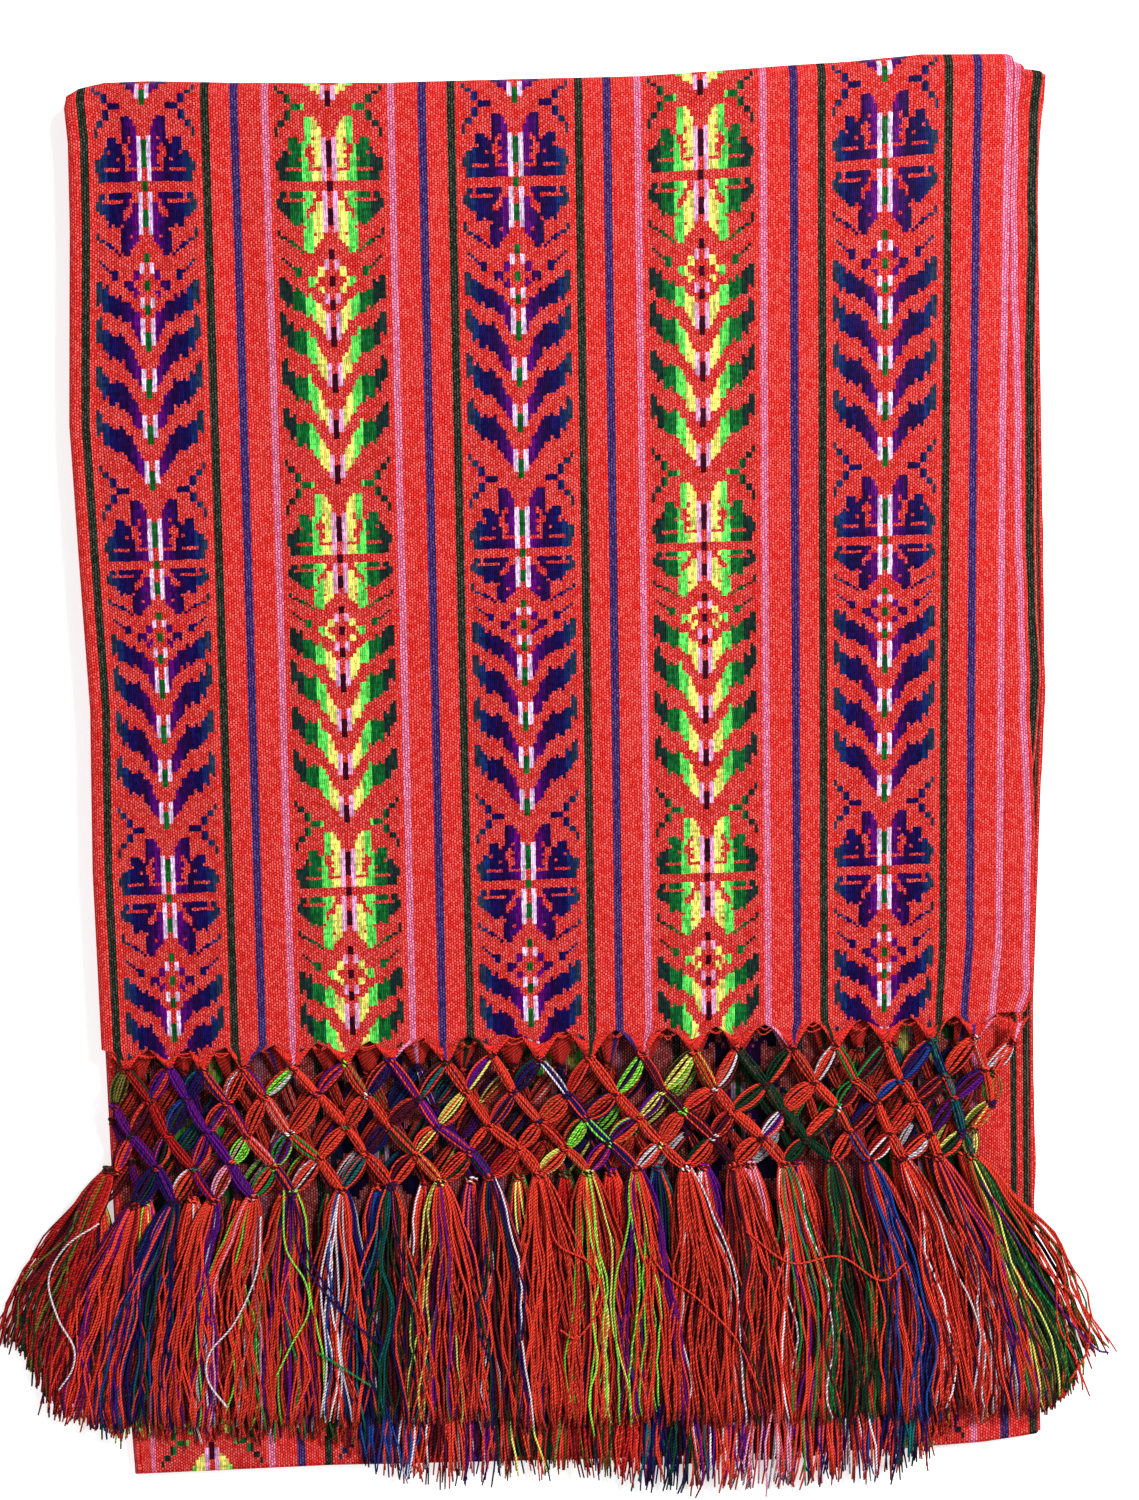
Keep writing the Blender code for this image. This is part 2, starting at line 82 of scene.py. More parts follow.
CREASES = (  # upper end x and y, lower end x and y, depth (a ridge has less than 0), half width
    (-117, 258, -107, 45, 1.25, 7.0),
    (-37, 72, -33, -6, 0.9, 6.0),
    (-160, 262, -161, 218, 0.9, 5.0),
    (-172, 150, -166, 40, 0.5, 6.0),
    (66, 120, 73, -10, 0.45, 8.0),
    (152, 215, 150, 60, -0.5, 9.0),
    (-60, 262, -66, 200, 0.6, 6.0),
    (104, 262, 98, 205, 0.6, 6.0),
    (-136, -20, -128, -80, 0.6, 6.0),
    (20, -40, 24, -84, 0.5, 6.0),
)

INNER_LAYERS = (  # reach past the inner selvedge by distance below, height, place of its edge in the weave
    (
        (
            (0, -5.0), (63, -4.5), (130, -4.4), (206, -4.0), (239, -3.2), (268, -1.6), (327, 0.2), (344, 0.8),
            (353, -2.2),
        ),
        12.75, 166.7,
    ),
    (
        ((0, 2.2), (63, 2.0), (130, 0.9), (206, -0.1), (228, 0.4), (254, -0.9), (268, -2.4), (353, -2.0)),
        11.1, 144.9,
    ),
    (
        ((0, 1.0), (63, 0.9), (130, 0.2), (353, -1.2)),
        9.4, 162.0,
    ),
)
INNER_COLUMNS = (-24.0, -14.0, -9.0, -7.6, -6.6, -5.6, -4.6, -3.6, -2.6, -1.8, -1.0, -0.3)  # from its edge
INNER_LIP = ((0.0, 0.0), (0.42, -0.22), (0.55, -0.55), (0.42, -0.88), (0.0, -1.1), (-6.0, -1.15))  # out, down
INNER_LIP_WEAVE = (0.3, 0.8, 1.3, 1.8, 2.3, 8.0)

# Knotted nets, in the solids' rows, drawn in a little at the right
FRONT_KNOTS = (  # number, x
    (0, -167), (3, -124), (17, 139), (18, 154), (19, 167.6),
)
FRONT_HEADS = (
    (0, -176), (1, -167), (3, -137), (5, -107), (14, 62), (16, 100), (20, 154),
)
UNDER_KNOTS = ((0, -164), (19, 171))
UNDER_HEADS = ((0, -172), (19, 166))
NET_ROWS_FRONT = (  # below the hem at the left, in the middle, at the right
    (7.0, 9.0, 10.0),
    (20.0, 23.0, 22.5),
    (34.0, 34.0, 33.5),
    (46.0, 44.7, 44.7),
    (60.0, 54.5, 55.0),
)
NET_ROWS_UNDER = (
    (12.0, 13.0, 13.0),
    (28.0, 28.0, 28.0),
    (43.0, 41.0, 41.0),
    (60.0, 56.0, 55.0),
)
FRONT_NET_Z = (13.2, 12.2)
UNDER_NET_Z = (9.3, 9.2)
FRONT_TIP_LINE = (  # x, below the hem
    (-221, 118), (-201, 144), (-172, 147), (0, 154), (87, 159),
    (160, 160), (187, 159), (198, 151), (202, 138),
)
UNDER_TIP_LINE = (
    (-196, 146), (-174, 151), (-147, 155), (-92, 157), (-80, 170), (-69, 174), (0, 178), (30, 184), (88, 184),
    (140, 176), (150, 160), (198, 156),
)
FRONT_LOCK_Z = 11.2
UNDER_LOCK_Z = 7.9
OVERHANG = 4.0
UNDER_DROP_RUN = 14.0
FRONT_DROP_RUN = 46.0
FRONT_NET_IN = 9.0  # how far the last knot of the rows between is drawn in
UNDER_NET_IN = 0.28  # share that the under net is drawn in past a place across
UNDER_NET_IN_FROM = 90.0
FAN_DEPTH = 4.6
FAN_PULL = 0.42
FAN_LEFT = 7.5  # where the fans end before the first knot, at the last knot and past it
FAN_LAST = 2.2
FAN_RIGHT = 8.6

# Weave: a band of figures every pitch, in turn purple and yellow, with a group of three stripes between
BAND_PITCH = 67.4
FIRST_BAND = -149.8
ROWS = 113
HALF_COLUMNS = 17
ROW_HEIGHT = 1.237
ROW_PLACES = (  # row from the first repeat's start, height in the plan
    (3.4, 257.8), (29.5, 227.0), (48.0, 204.8), (67.5, 181.6), (96.0, 147.6), (118.5, 121.1),
    (142.5, 93.1), (170.0, 67.5), (180.5, 55.2), (209.0, 21.2), (231.5, -4.2), (255.5, -30.7),
    (283.0, -61.5), (307.0, -90.3),
)
WEAVE_X = -15.0
LOWER_BAND_PITCH = 68.7
LOWER_FIRST_BAND = -141.8
LOWER_ROW_Y = -257.0
COVERED_Y = (-238.0, -226.0)  # painted shade: the lower cloth is darkened under the nets, from the foot up and to the right
COVERED_X = (160.0, 150.0)
PAINTED_SHADE_UNDER_NETS = 0.76
BESIDE_NET_Y = -205.0  # the plain strip with one green stripe beside the nets
BESIDE_NET_X = (164.0, 175.0)
BESIDE_NET_STRIPE = (172.8, 1.0)  # middle, half width
PINK_WARP = (173.6, 1.4)

# Half a band from its middle: kind of column, how many, how wide together
GROUND, GREEN, VIOLET, PINK, FIGURE = range(5)
HALF_BAND = (
    (FIGURE, 1, 1.05),
    (FIGURE, 2, 1.7),
    (FIGURE, 14, 16.55),
)
PURPLE_SIDE = (
    (GROUND, 1, 2.3),
    (GREEN, 3, 3.0),
    (GROUND, 3, 7.4),
    (VIOLET, 3, 3.0),
    (GROUND, 3, 8.4),
    (PINK, 2, 2.6),
    (GROUND, 1, 2.1),
)

# Woven figure: floats by first and last row, first and last half column
FLOATS = (
    # centre line
    (16, 23, 0, 0), (28, 30, 0, 0), (36, 40, 0, 0), (48, 50, 0, 0), (56, 58, 0, 0), (63, 65, 0, 0),
    # pale pair beside it
    (15, 27, 1, 2), (31, 42, 1, 2), (51, 53, 1, 2), (61, 63, 1, 2),
    # twigs
    (111, 112, 16, 16), (0, 1, 14, 15), (2, 4, 12, 13), (5, 6, 8, 11), (7, 9, 12, 13), (10, 11, 14, 15),
    (12, 14, 16, 16),
    # upper petals
    (9, 27, 5, 7), (10, 27, 4, 4), (12, 27, 3, 3),
    (17, 23, 8, 9), (15, 23, 10, 12), (19, 23, 13, 13), (20, 24, 14, 14), (21, 24, 15, 15), (22, 24, 16, 16),
    (25, 27, 8, 15), (24, 24, 7, 8),
    # lower petals
    (31, 32, 5, 12), (33, 34, 6, 7), (35, 35, 7, 8), (31, 32, 14, 15), (33, 35, 15, 16),
    (34, 37, 8, 14), (36, 36, 15, 15), (38, 38, 8, 13), (39, 40, 8, 12),
    (34, 44, 3, 3), (34, 45, 4, 4), (37, 46, 5, 5), (38, 48, 6, 6), (39, 48, 7, 7), (42, 47, 8, 8),
    # dotted arcs
    (42, 43, 16, 16), (44, 44, 14, 15), (45, 45, 12, 13), (46, 46, 11, 12), (47, 47, 10, 10), (48, 48, 9, 9),
    (50, 50, 15, 15), (51, 51, 14, 14), (52, 52, 13, 13), (53, 53, 12, 12), (53, 55, 10, 11),
    # small diamond
    (53, 55, 3, 4), (56, 58, 5, 7), (59, 60, 3, 4),
)
OPENINGS = (
    (15, 16, 5, 5), (17, 23, 6, 6), (18, 20, 7, 7), (19, 19, 5, 5), (21, 22, 5, 5), (24, 24, 3, 6),
    (21, 21, 9, 9), (19, 19, 12, 12), (43, 43, 5, 5),
)
CHEVRON = (  # first and last row below the chevron's start, first and last half column
    (0, 6, 15, 16), (3, 9, 13, 14), (5, 11, 10, 12), (5, 12, 8, 9), (7, 14, 7, 7), (8, 15, 6, 6),
    (10, 17, 5, 5), (12, 18, 4, 4), (14, 19, 3, 3), (15, 21, 1, 2), (18, 23, 0, 0),
)
CHEVRON_ROWS = (67, 81, 95)
TOP_CHEVRON = (
    (0, 6, 15, 16), (2, 8, 13, 14), (4, 9, 11, 12), (5, 10, 9, 10), (6, 11, 7, 8),
    (7, 12, 6, 6), (8, 13, 5, 5), (9, 15, 4, 4), (10, 17, 3, 3), (11, 18, 1, 2), (15, 20, 0, 0),
)
TOP_CHEVRON_ROW = 56
CALM_ROWS = ((0, 14), (22, 27), (30, 36), (42, 55), (109, 112))  # rows whose floats end square


def linear(red, green, blue):
    """A surface colour from its display values of 0 to 255."""
    return tuple(((value / 255 + 0.055) / 1.055) ** 2.4 for value in (red, green, blue))


CORAL = linear(238, 52, 42)
PURPLE_BAND = (  # first half column, colour
    (0, linear(16, 92, 34)), (1, linear(246, 208, 244)), (3, linear(88, 0, 108)), (5, linear(52, 0, 86)),
    (7, linear(30, 0, 66)), (10, linear(18, 8, 78)), (13, linear(16, 38, 94)), (15, linear(36, 50, 74)),
)
YELLOW_BAND = (
    (0, linear(58, 0, 24)), (1, linear(244, 170, 214)), (3, linear(250, 244, 118)),
    (6, linear(98, 230, 92)), (9, linear(14, 96, 42)), (13, linear(22, 44, 40)),
)
STRIPES = {
    GREEN: linear(30, 50, 30),
    VIOLET: linear(64, 44, 132),
    PINK: linear(250, 150, 192),
}
COTTON = {
    "coral": linear(240, 64, 44), "deep": linear(190, 28, 24), "navy": linear(24, 14, 92),
    "blue": linear(24, 66, 150), "purple": linear(98, 10, 132), "teal": linear(10, 100, 104),
    "forest": linear(16, 58, 34), "green": linear(20, 140, 60), "lime": linear(140, 236, 70),
    "yellow": linear(240, 232, 110), "pink": linear(242, 150, 178), "white": linear(240, 226, 236),
    "olive": linear(110, 112, 40), "maroon": linear(84, 8, 34), "violet": linear(90, 60, 170),
}


def read(table, key, column=1):
    """Straight-line reading of a table whose first column rises; key may be an array."""
    return np.interp(key, [row[0] for row in table], [row[column] for row in table])


def mix(low, high, share):
    return low + (high - low) * share


def smooth(low, high, value):
    """A soft step from 0 at low to 1 at high."""
    share = np.clip((value - low) / (high - low), 0.0, 1.0)
    return share * share * (3 - 2 * share)


def wave(x, y):
    """How far the cloth rises and sinks: long waves, and soft creases listed one by one."""
    level = sum(height * np.sin(math.tau * (x / along_x + y / along_y) + phase)
                for height, along_x, along_y, phase in WAVES)
    for upper_x, upper_y, lower_x, lower_y, depth, width in CREASES:
        share = (y - upper_y) / (lower_y - upper_y)
        line = mix(upper_x, lower_x, share) + 1.6 * np.sin(share * 7.0 + upper_x)
        length = smooth(-0.25, 0.2, share) * smooth(1.25, 0.8, share)
        level = level - depth * np.exp(-((x - line) / width) ** 2) * length
    return level


def side_edge(below, column):
    reach = FOLDED_WIDTH / 2 - read(SIDE_INSETS, below, column)
    return -reach if column == LEFT else reach


def places_across(table):
    return [float(read(table, number)) for number in range(table[-1][0] + 1)]


# Weave colours

def figure_chart():
    """Which half columns the floats cover on each row of one repeat."""
    covered = np.zeros((ROWS, HALF_COLUMNS), bool)
    for first, last, left, right in FLOATS:
        covered[first:last + 1, left:right + 1] = True
    for first, last, left, right in OPENINGS:
        covered[first:last + 1, left:right + 1] = False
    chevrons = [(TOP_CHEVRON_ROW, TOP_CHEVRON)] + [(row, CHEVRON) for row in CHEVRON_ROWS]
    for start, steps in chevrons:
        for first, last, left, right in steps:
            rows = np.arange(start + first, start + last + 1) % ROWS
            covered[rows, left:right + 1] = True
    return covered


class Weave:
    """The cloth's columns over a span of bands, and what is woven in each."""

    def __init__(self, first_band, pitch, first_is_purple):
        half = [(kind, width / count) for kind, count, width in HALF_BAND for _ in range(count)]
        right = [(kind, width, column) for column, (kind, width) in enumerate(half)][1:]
        middle = (FIGURE, 2 * half[0][1], 0)
        side = [(kind, width / count, 0) for kind, count, width in PURPLE_SIDE for _ in range(count)]
        columns = []
        for band in range(-1, 7):
            is_purple = (band % 2 == 0) == first_is_purple
            whole_band = [*reversed(right), middle, *right, *(side if is_purple else reversed(side))]
            columns += [(*column, is_purple) for column in whole_band]
        kinds, widths, halves, purple = zip(*columns)
        scale = pitch / BAND_PITCH
        edges = np.concatenate([[0.0], np.cumsum(widths)]) * scale
        half_width = sum(width for _, width in half) * scale
        self.edges = edges - half_width + first_band - pitch
        self.kinds = np.array(kinds)
        self.halves = np.array(halves)
        self.purple = np.array(purple)

    def columns(self, left, right):
        """Column edges strictly between two places, with both places added."""
        inner = self.edges[(self.edges > left + 0.3) & (self.edges < right - 0.3)]
        return np.concatenate([[left], inner, [right]])

    def colours(self, across, rows, noise):
        """Colour and kind of the cells whose middles lie at these places across and rows down."""
        column = np.clip(np.searchsorted(self.edges, across) - 1, 0, len(self.kinds) - 1)
        kinds, halves, purple = self.kinds[column], self.halves[column], self.purple[column]
        shape = np.broadcast(across, rows).shape
        step = np.broadcast_to(np.floor(rows).astype(int), shape)
        stagger = (column + np.floor(step / 12).astype(int) * 5) % 3 == 0
        in_repeat = step % ROWS
        calm = np.zeros(shape, bool)
        for first, last in CALM_ROWS:
            calm |= (in_repeat >= first) & (in_repeat <= last)
        row = (step + np.where((halves > 2) & ~calm, stagger, 0)) % ROWS
        cells = np.empty(shape + (4,))
        cells[..., :3] = CORAL
        cells[..., 3] = 0.0
        for kind, colour in STRIPES.items():
            cells[np.broadcast_to(kinds == kind, shape)] = (*colour, 0.5)
        cells[np.broadcast_to(kinds == FIGURE, shape), 3] = 0.25
        floats = CHART[row, halves] & (kinds == FIGURE)
        for table, chosen in ((PURPLE_BAND, purple), (YELLOW_BAND, ~purple)):
            for number, (first, colour) in enumerate(table):
                last = table[number + 1][0] if number + 1 < len(table) else HALF_COLUMNS
                mine = floats & np.broadcast_to(chosen & (halves >= first) & (halves < last), shape)
                cells[mine] = (*colour, 1.0)
        shade = 1.0 + noise.uniform(-0.06, 0.06, shape)
        streak = 1.0 + 0.7 * (noise.random(shape) - 0.5) * (cells[..., 3] == 1.0)
        cells[..., :3] *= (shade * streak)[..., None]
        return cells


CHART = figure_chart()


# Meshes

WELD_GAP = 0.01


class Surface:
    """Quads of one piece, gathered grid by grid with their colours and weave places."""

    def __init__(self):
        self.points, self.quads, self.cells, self.weave, self.sheet = [], [], [], [], []
        self.count = 0

    def grid(self, points, cells, across, along, patch, flip=False):
        """Adds a grid: points by row and column, cell colours, weave places and its patch of the map."""
        rows, columns = points.shape[:2]
        number = self.count + np.arange(rows * columns).reshape(rows, columns)
        self.count += rows * columns
        self.points.append(points.reshape(-1, 3))
        corners = [number[:-1, :-1], number[1:, :-1], number[1:, 1:], number[:-1, 1:]]
        places = np.stack(np.broadcast_arrays(across, along), axis=-1)
        u = np.linspace(patch[0], patch[2], columns)[None, :]
        v = np.linspace(patch[3], patch[1], rows)[:, None]
        spread = np.stack(np.broadcast_arrays(u, v), axis=-1)
        order = [3, 2, 1, 0] if flip else [0, 1, 2, 3]

        def corner_values(values):
            four = [values[:-1, :-1], values[1:, :-1], values[1:, 1:], values[:-1, 1:]]
            return np.stack([four[n] for n in order], axis=2).reshape(-1, 4, values.shape[-1])

        self.quads.append(np.stack([corners[n] for n in order], axis=2).reshape(-1, 4))
        self.weave.append(corner_values(places))
        self.sheet.append(corner_values(spread))
        self.cells.append(np.repeat(cells.reshape(-1, 1, 4), 4, axis=1))

    def build(self, name, surface):
        points = np.concatenate(self.points) * MM
        quads = np.concatenate(self.quads)
        obj = mesh_object(name, points, quads, surface)
        me = obj.data
        colour = me.color_attributes.new("cloth_colour", "FLOAT_COLOR", "CORNER")
        colour.data.foreach_set("color", np.concatenate(self.cells).ravel())
        for layer, values in (("weave", self.weave), ("OFBake", self.sheet)):
            me.uv_layers.new(name=layer).data.foreach_set("uv", np.concatenate(values).ravel())
        obj.modifiers.new("weld", "WELD").merge_threshold = WELD_GAP * MM
        bake_modifiers(obj)
        return obj


def mesh_object(name, points, faces, surface):
    """A smooth-shaded object from arrays of points in metres and of faces with the same number of corners."""
    me = bpy.data.meshes.new(name)
    count, sides = faces.shape
    me.vertices.add(len(points))
    me.vertices.foreach_set("co", np.ascontiguousarray(points, dtype=np.float32).ravel())
    me.loops.add(count * sides)
    me.loops.foreach_set("vertex_index", faces.astype(np.int32).ravel())
    me.polygons.add(count)
    me.polygons.foreach_set("loop_start", np.arange(0, count * sides, sides, dtype=np.int32))
    me.update(calc_edges=True)
    me.polygons.foreach_set("use_smooth", np.ones(count, bool))
    me.materials.append(surface)
    obj = bpy.data.objects.new(name, me)
    bpy.context.scene.collection.objects.link(obj)
    return obj


def bake_modifiers(obj):
    """Puts an object's modifiers into its mesh."""
    depsgraph = bpy.context.evaluated_depsgraph_get()
    done = bpy.data.meshes.new_from_object(obj.evaluated_get(depsgraph), preserve_all_data_layers=True,
                                           depsgraph=depsgraph)
    obj.modifiers.clear()
    obj.data = done


# Materials

class Nodes:
    """Short names for building a material's nodes."""

    def __init__(self, name):
        self.material = bpy.data.materials.new(name)
        self.material.use_nodes = True
        self.tree = self.material.node_tree
        self.shader = self.tree.nodes["Principled BSDF"]

    def add(self, kind, **settings):
        node = self.tree.nodes.new(kind)
        for key, value in settings.items():
            setattr(node, key, value)
        return node

    def link(self, source, target):
        if isinstance(source, (int, float, tuple)):
            target.default_value = source
        else:
            self.tree.links.new(source, target)

    def math(self, operation, *values, clamp=False):
        node = self.add("ShaderNodeMath", operation=operation, use_clamp=clamp)
        for socket, value in zip(node.inputs, values):
            self.link(value, socket)
        return node.outputs[0]

    def mix(self, share, first, second, blend="MIX"):
        node = self.add("ShaderNodeMix", data_type="RGBA", blend_type=blend)
        for socket, value in ((node.inputs[0], share), (node.inputs[6], first), (node.inputs[7], second)):
            self.link((*value, 1.0) if isinstance(value, tuple) else value, socket)
        return node.outputs[2]

    def ramp(self, value, low, high, from_value=0.0, to_value=1.0):
        node = self.add("ShaderNodeMapRange", interpolation_type="SMOOTHSTEP")
        for socket, given in zip(node.inputs, (value, low, high, from_value, to_value)):
            self.link(given, socket)
        return node.outputs[0]

    def noise(self, vector, scale, detail=2.0):
        node = self.add("ShaderNodeTexNoise")
        node.inputs["Scale"].default_value = scale
        node.inputs["Detail"].default_value = detail
        self.link(vector, node.inputs["Vector"])
        return node.outputs[0]

    def bump(self, height, distance, strength=1.0):
        node = self.add("ShaderNodeBump")
        node.inputs["Strength"].default_value = strength
        node.inputs["Distance"].default_value = distance
        self.link(height, node.inputs["Height"])
        self.link(node.outputs[0], self.shader.inputs["Normal"])


GRAIN_WIDTH = 0.92
GRAIN_LENGTH = 1.24
FLOAT_YARN = 0.76
FLOAT_LENGTH = 5.2


def cloth_material(name):
    """Plain weave with staggered grains, and floats of fine shiny yarns, on the colours of the cells, with
    painted shade in the gaps between grains and between float yarns.
    """
    nodes = Nodes(name)
    colour = nodes.add("ShaderNodeVertexColor", layer_name="cloth_colour")
    dyed = colour.outputs["Color"]
    places = nodes.add("ShaderNodeUVMap", uv_map="weave")
    split = nodes.add("ShaderNodeSeparateXYZ")
    nodes.link(places.outputs[0], split.inputs[0])
    across, along = split.outputs[0], split.outputs[1]
    wander = nodes.noise(places.outputs[0], 0.35, 1.0)
    drift = nodes.math("MULTIPLY_ADD", wander, 0.9, across)
    turned = nodes.add("ShaderNodeCombineXYZ")
    nodes.link(along, turned.inputs[0])
    nodes.link(drift, turned.inputs[1])

    def grains(length, width, gap):
        brick = nodes.add("ShaderNodeTexBrick", offset=0.5, offset_frequency=2, squash=1.0)
        black, white = (0.0, 0.0, 0.0, 1.0), (1.0, 1.0, 1.0, 1.0)
        for socket, value in (
            ("Scale", 1.0), ("Mortar Size", gap), ("Mortar Smooth", 0.7), ("Bias", 0.0),
            ("Brick Width", length), ("Row Height", width),
            ("Mortar", black), ("Color1", black), ("Color2", white),
        ):
            brick.inputs[socket].default_value = value
        nodes.link(turned.outputs[0], brick.inputs["Vector"])
        return brick.outputs["Fac"], brick.outputs["Color"]

    gap, chance = grains(GRAIN_LENGTH, GRAIN_WIDTH, 0.20)
    tone = nodes.ramp(chance, 0.0, 1.0, 0.2, 0.95)
    is_float = nodes.ramp(colour.outputs["Alpha"], 0.72, 0.8)
    kind = colour.outputs["Alpha"]
    in_figure = nodes.math("MULTIPLY", nodes.ramp(kind, 0.1, 0.2), nodes.ramp(kind, 0.4, 0.3))
    in_stripe = nodes.math("MULTIPLY", nodes.ramp(kind, 0.35, 0.45), nodes.ramp(kind, 0.65, 0.55))
    dyed = nodes.mix(in_figure, dyed, nodes.mix(1.0, dyed, (0.86, 1.0, 1.0), "MULTIPLY"))
    low = nodes.mix(1.0, dyed, nodes.mix(in_stripe, (0.74, 0.22, 0.20), (0.45, 0.4, 0.45)), "MULTIPLY")
    high = nodes.mix(nodes.math("MULTIPLY_ADD", in_stripe, -0.05, 0.10), dyed, (1.0, 0.93, 0.90))
    # painted shade in the gaps between the grains
    deep = nodes.mix(1.0, dyed, (0.50, 0.03, 0.05), "MULTIPLY")
    woven = nodes.mix(nodes.math("MULTIPLY", gap, 0.92), nodes.mix(tone, low, high), deep)

    line_gap, line_tone = grains(FLOAT_LENGTH, FLOAT_YARN, 0.10)
    line_colour = nodes.mix(line_tone, nodes.mix(1.0, dyed, (0.5, 0.5, 0.5), "MULTIPLY"),
                            nodes.mix(1.0, dyed, (1.15, 1.15, 1.15), "MULTIPLY"))
    # painted shade in the gaps between the float yarns
    painted_float_gap_shade = nodes.mix(1.0, dyed, (0.34, 0.28, 0.30), "MULTIPLY")
    floated = nodes.mix(nodes.math("MULTIPLY", line_gap, 0.7), line_colour, painted_float_gap_shade)
    nodes.link(nodes.mix(is_float, woven, floated), nodes.shader.inputs["Base Color"])
    roughness = nodes.math("MULTIPLY_ADD", is_float, -0.30, 0.85)
    nodes.link(roughness, nodes.shader.inputs["Roughness"])
    nodes.link(nodes.math("MULTIPLY", is_float, 0.05), nodes.shader.inputs["Specular IOR Level"])
    height = nodes.add("ShaderNodeMix", data_type="FLOAT")
    nodes.link(is_float, height.inputs[0])
    nodes.link(nodes.math("SUBTRACT", 1.0, gap), height.inputs[2])
    nodes.link(nodes.math("SUBTRACT", 1.0, line_gap), height.inputs[3])
    nodes.bump(height.outputs[0], 0.00028)
    return nodes.material


# Folded cloth

def row_place(rows):
    """Height in the plan, at the weave's own middle, of a row counted from the first repeat's start."""
    return read(ROW_PLACES, rows)


def front_cloth(surface):
    """The uppermost layer: a flat face that rolls round the left fold and over the upper one."""
    noise = np.random.default_rng(11)
    weave = Weave(FIRST_BAND, BAND_PITCH, True)
    left_line, right_line = FRONT_LINES
    xs = weave.columns(left_line, right_line)
    last_row = float(np.interp(-HEM_Y, [-place for _, place in ROW_PLACES], [row for row, _ in ROW_PLACES]))
    first_row = 3.4
    rows = np.concatenate([[first_row], np.arange(4, math.floor(last_row)), [last_row]])
    x_grid, row_grid = np.meshgrid(xs, rows)
    y_grid = row_place(row_grid)
    x, y = front_place(x_grid, y_grid, left_line, right_line)
    middles_x = middles(xs)
    middles_row = middles(rows)
    cells = weave.colours(middles_x[None, :], middles_row[:, None], noise)
    raised = float_lift(cells[..., 3])
    z = UPPER_TOP - 0.35 + wave(x, y) + raised
    x = x + noise.uniform(-0.10, 0.10, x.shape) * inside(x.shape)
    y = y + noise.uniform(-0.22, 0.22, x.shape) * inside(x.shape)
    piece = Surface()
    piece.grid(np.stack([x, y, z], axis=-1), cells, x_grid, -y_grid, (0.02, 0.10, 1.0, 1.0))

    # woven fans past the hem, drawn in towards the knots
    knots = places_across(FRONT_KNOTS)
    edges = fan_edges([(knot, 0.0) for knot in knots])
    depth = np.linspace(0.0, 1.0, 5)
    for number, knot in enumerate(knots):
        first, last = np.searchsorted(x[-1], [edges[number], edges[number + 1]])
        first, last = max(0, first), min(len(xs) - 1, last)
        if last - first < 2:
            continue
        span = x[-1, first:last + 1]
        share = (span - span[0]) / (span[-1] - span[0])
        middle = 1.0 - np.abs(2 * share - 1.0) ** 2
        fan_x = span + (knot - span) * FAN_PULL * (0.4 + 0.6 * middle) * depth[:, None]
        fan_y = y[-1, first:last + 1] - FAN_DEPTH * (0.25 + 0.75 * middle) * depth[:, None]
        fan_z = z[-1, first:last + 1] - 0.1 - 0.5 * depth[:, None] ** 2
        fan_middles = middles_x[first:last]
        fan_rows = last_row + (depth[:-1] + depth[1:]) * 2.0
        fan_cells = weave.colours(fan_middles[None, :], fan_rows[:, None], noise)
        place_across = np.broadcast_to(xs[first:last + 1], fan_x.shape)
        piece.grid(np.stack([fan_x, fan_y, fan_z], axis=-1), fan_cells, place_across,
                   -y_grid[-1, first:last + 1] + FAN_DEPTH * depth[:, None],
                   (number / len(knots), 0.0, (number + 0.9) / len(knots), 0.01))

    # skirt: down the left fold and over the upper one
    path_x = np.concatenate([x[::-1, 0], x[0, 1:]])
    path_y = np.concatenate([y[::-1, 0], y[0, 1:]])
    path_z = np.concatenate([z[::-1, 0], z[0, 1:]])
    on_left = np.concatenate([np.ones(len(rows) - 1), [0.7], np.zeros(len(xs) - 1)])
    on_top = np.concatenate([np.zeros(len(rows) - 1), [0.7], np.ones(len(xs) - 1)])
    nose_steps, lip_steps = 16, 9
    layers, across, along = [], [], []
    base_across = np.concatenate([np.full(len(rows), left_line), xs[1:]])
    base_row = np.concatenate([rows[::-1], np.full(len(xs) - 1, rows[0])])
    for step in range(nose_steps + 1):
        turn = math.pi * step / nose_steps
        lip_turn = math.radians(165) * min(1.0, step / lip_steps)
        nose_x = NOSE * math.sin(turn)
        nose_z = TURN_HEIGHT - 7.25 * math.cos(turn)
        lip_x = LIP_RADIUS * math.sin(lip_turn)
        lip_z = LIP_RADIUS * (1 - math.cos(lip_turn))
        new_x = path_x - on_left * lip_x
        new_y = path_y + on_top * nose_x
        new_z = path_z - np.where(on_top > 0, nose_z + 0.1, lip_z)
        layers.append(np.stack([new_x, new_y, np.maximum(new_z, 0.25)], axis=-1))
        across.append(base_across - on_left * LIP_RADIUS * lip_turn)
        along.append(base_row - on_top * TOP_ROLL * turn / ROW_HEIGHT)
    layers, across, along = np.array(layers), np.array(across), np.array(along)
    mid_across = (across[:-1, :-1] + across[1:, 1:]) / 2
    mid_row = (along[:-1, :-1] + along[1:, 1:]) / 2
    skirt = np.empty(mid_across.shape + (4,))
    for step in range(skirt.shape[0]):
        skirt[step] = weave.colours(mid_across[step], mid_row[step], noise)
    piece.grid(layers, skirt, across, along * ROW_HEIGHT, (0.02, 0.015, 1.0, 0.09), flip=True)
    return piece.build("cloth_front", surface)


def front_place(x, y, left_line, right_line):
    """Where a place of the uppermost layer's weave lies in the plan."""
    below = TOP_Y - y
    left = side_edge(below, LEFT) + LIP_RADIUS
    right = side_edge(below, FRONT_SELVEDGE)
    near_left = smooth(-135.0, left_line, x)
    near_right = smooth(110.0, right_line, x)
    moved = x + (left - left_line) * near_left + (right - right_line) * near_right
    rise = read(TOP_FOLD, moved) * smooth(170.0, 258.0, y)
    return moved, y + SKEW * (moved - WEAVE_X) + rise


def middles(edges):
    return (edges[:-1] + edges[1:]) / 2


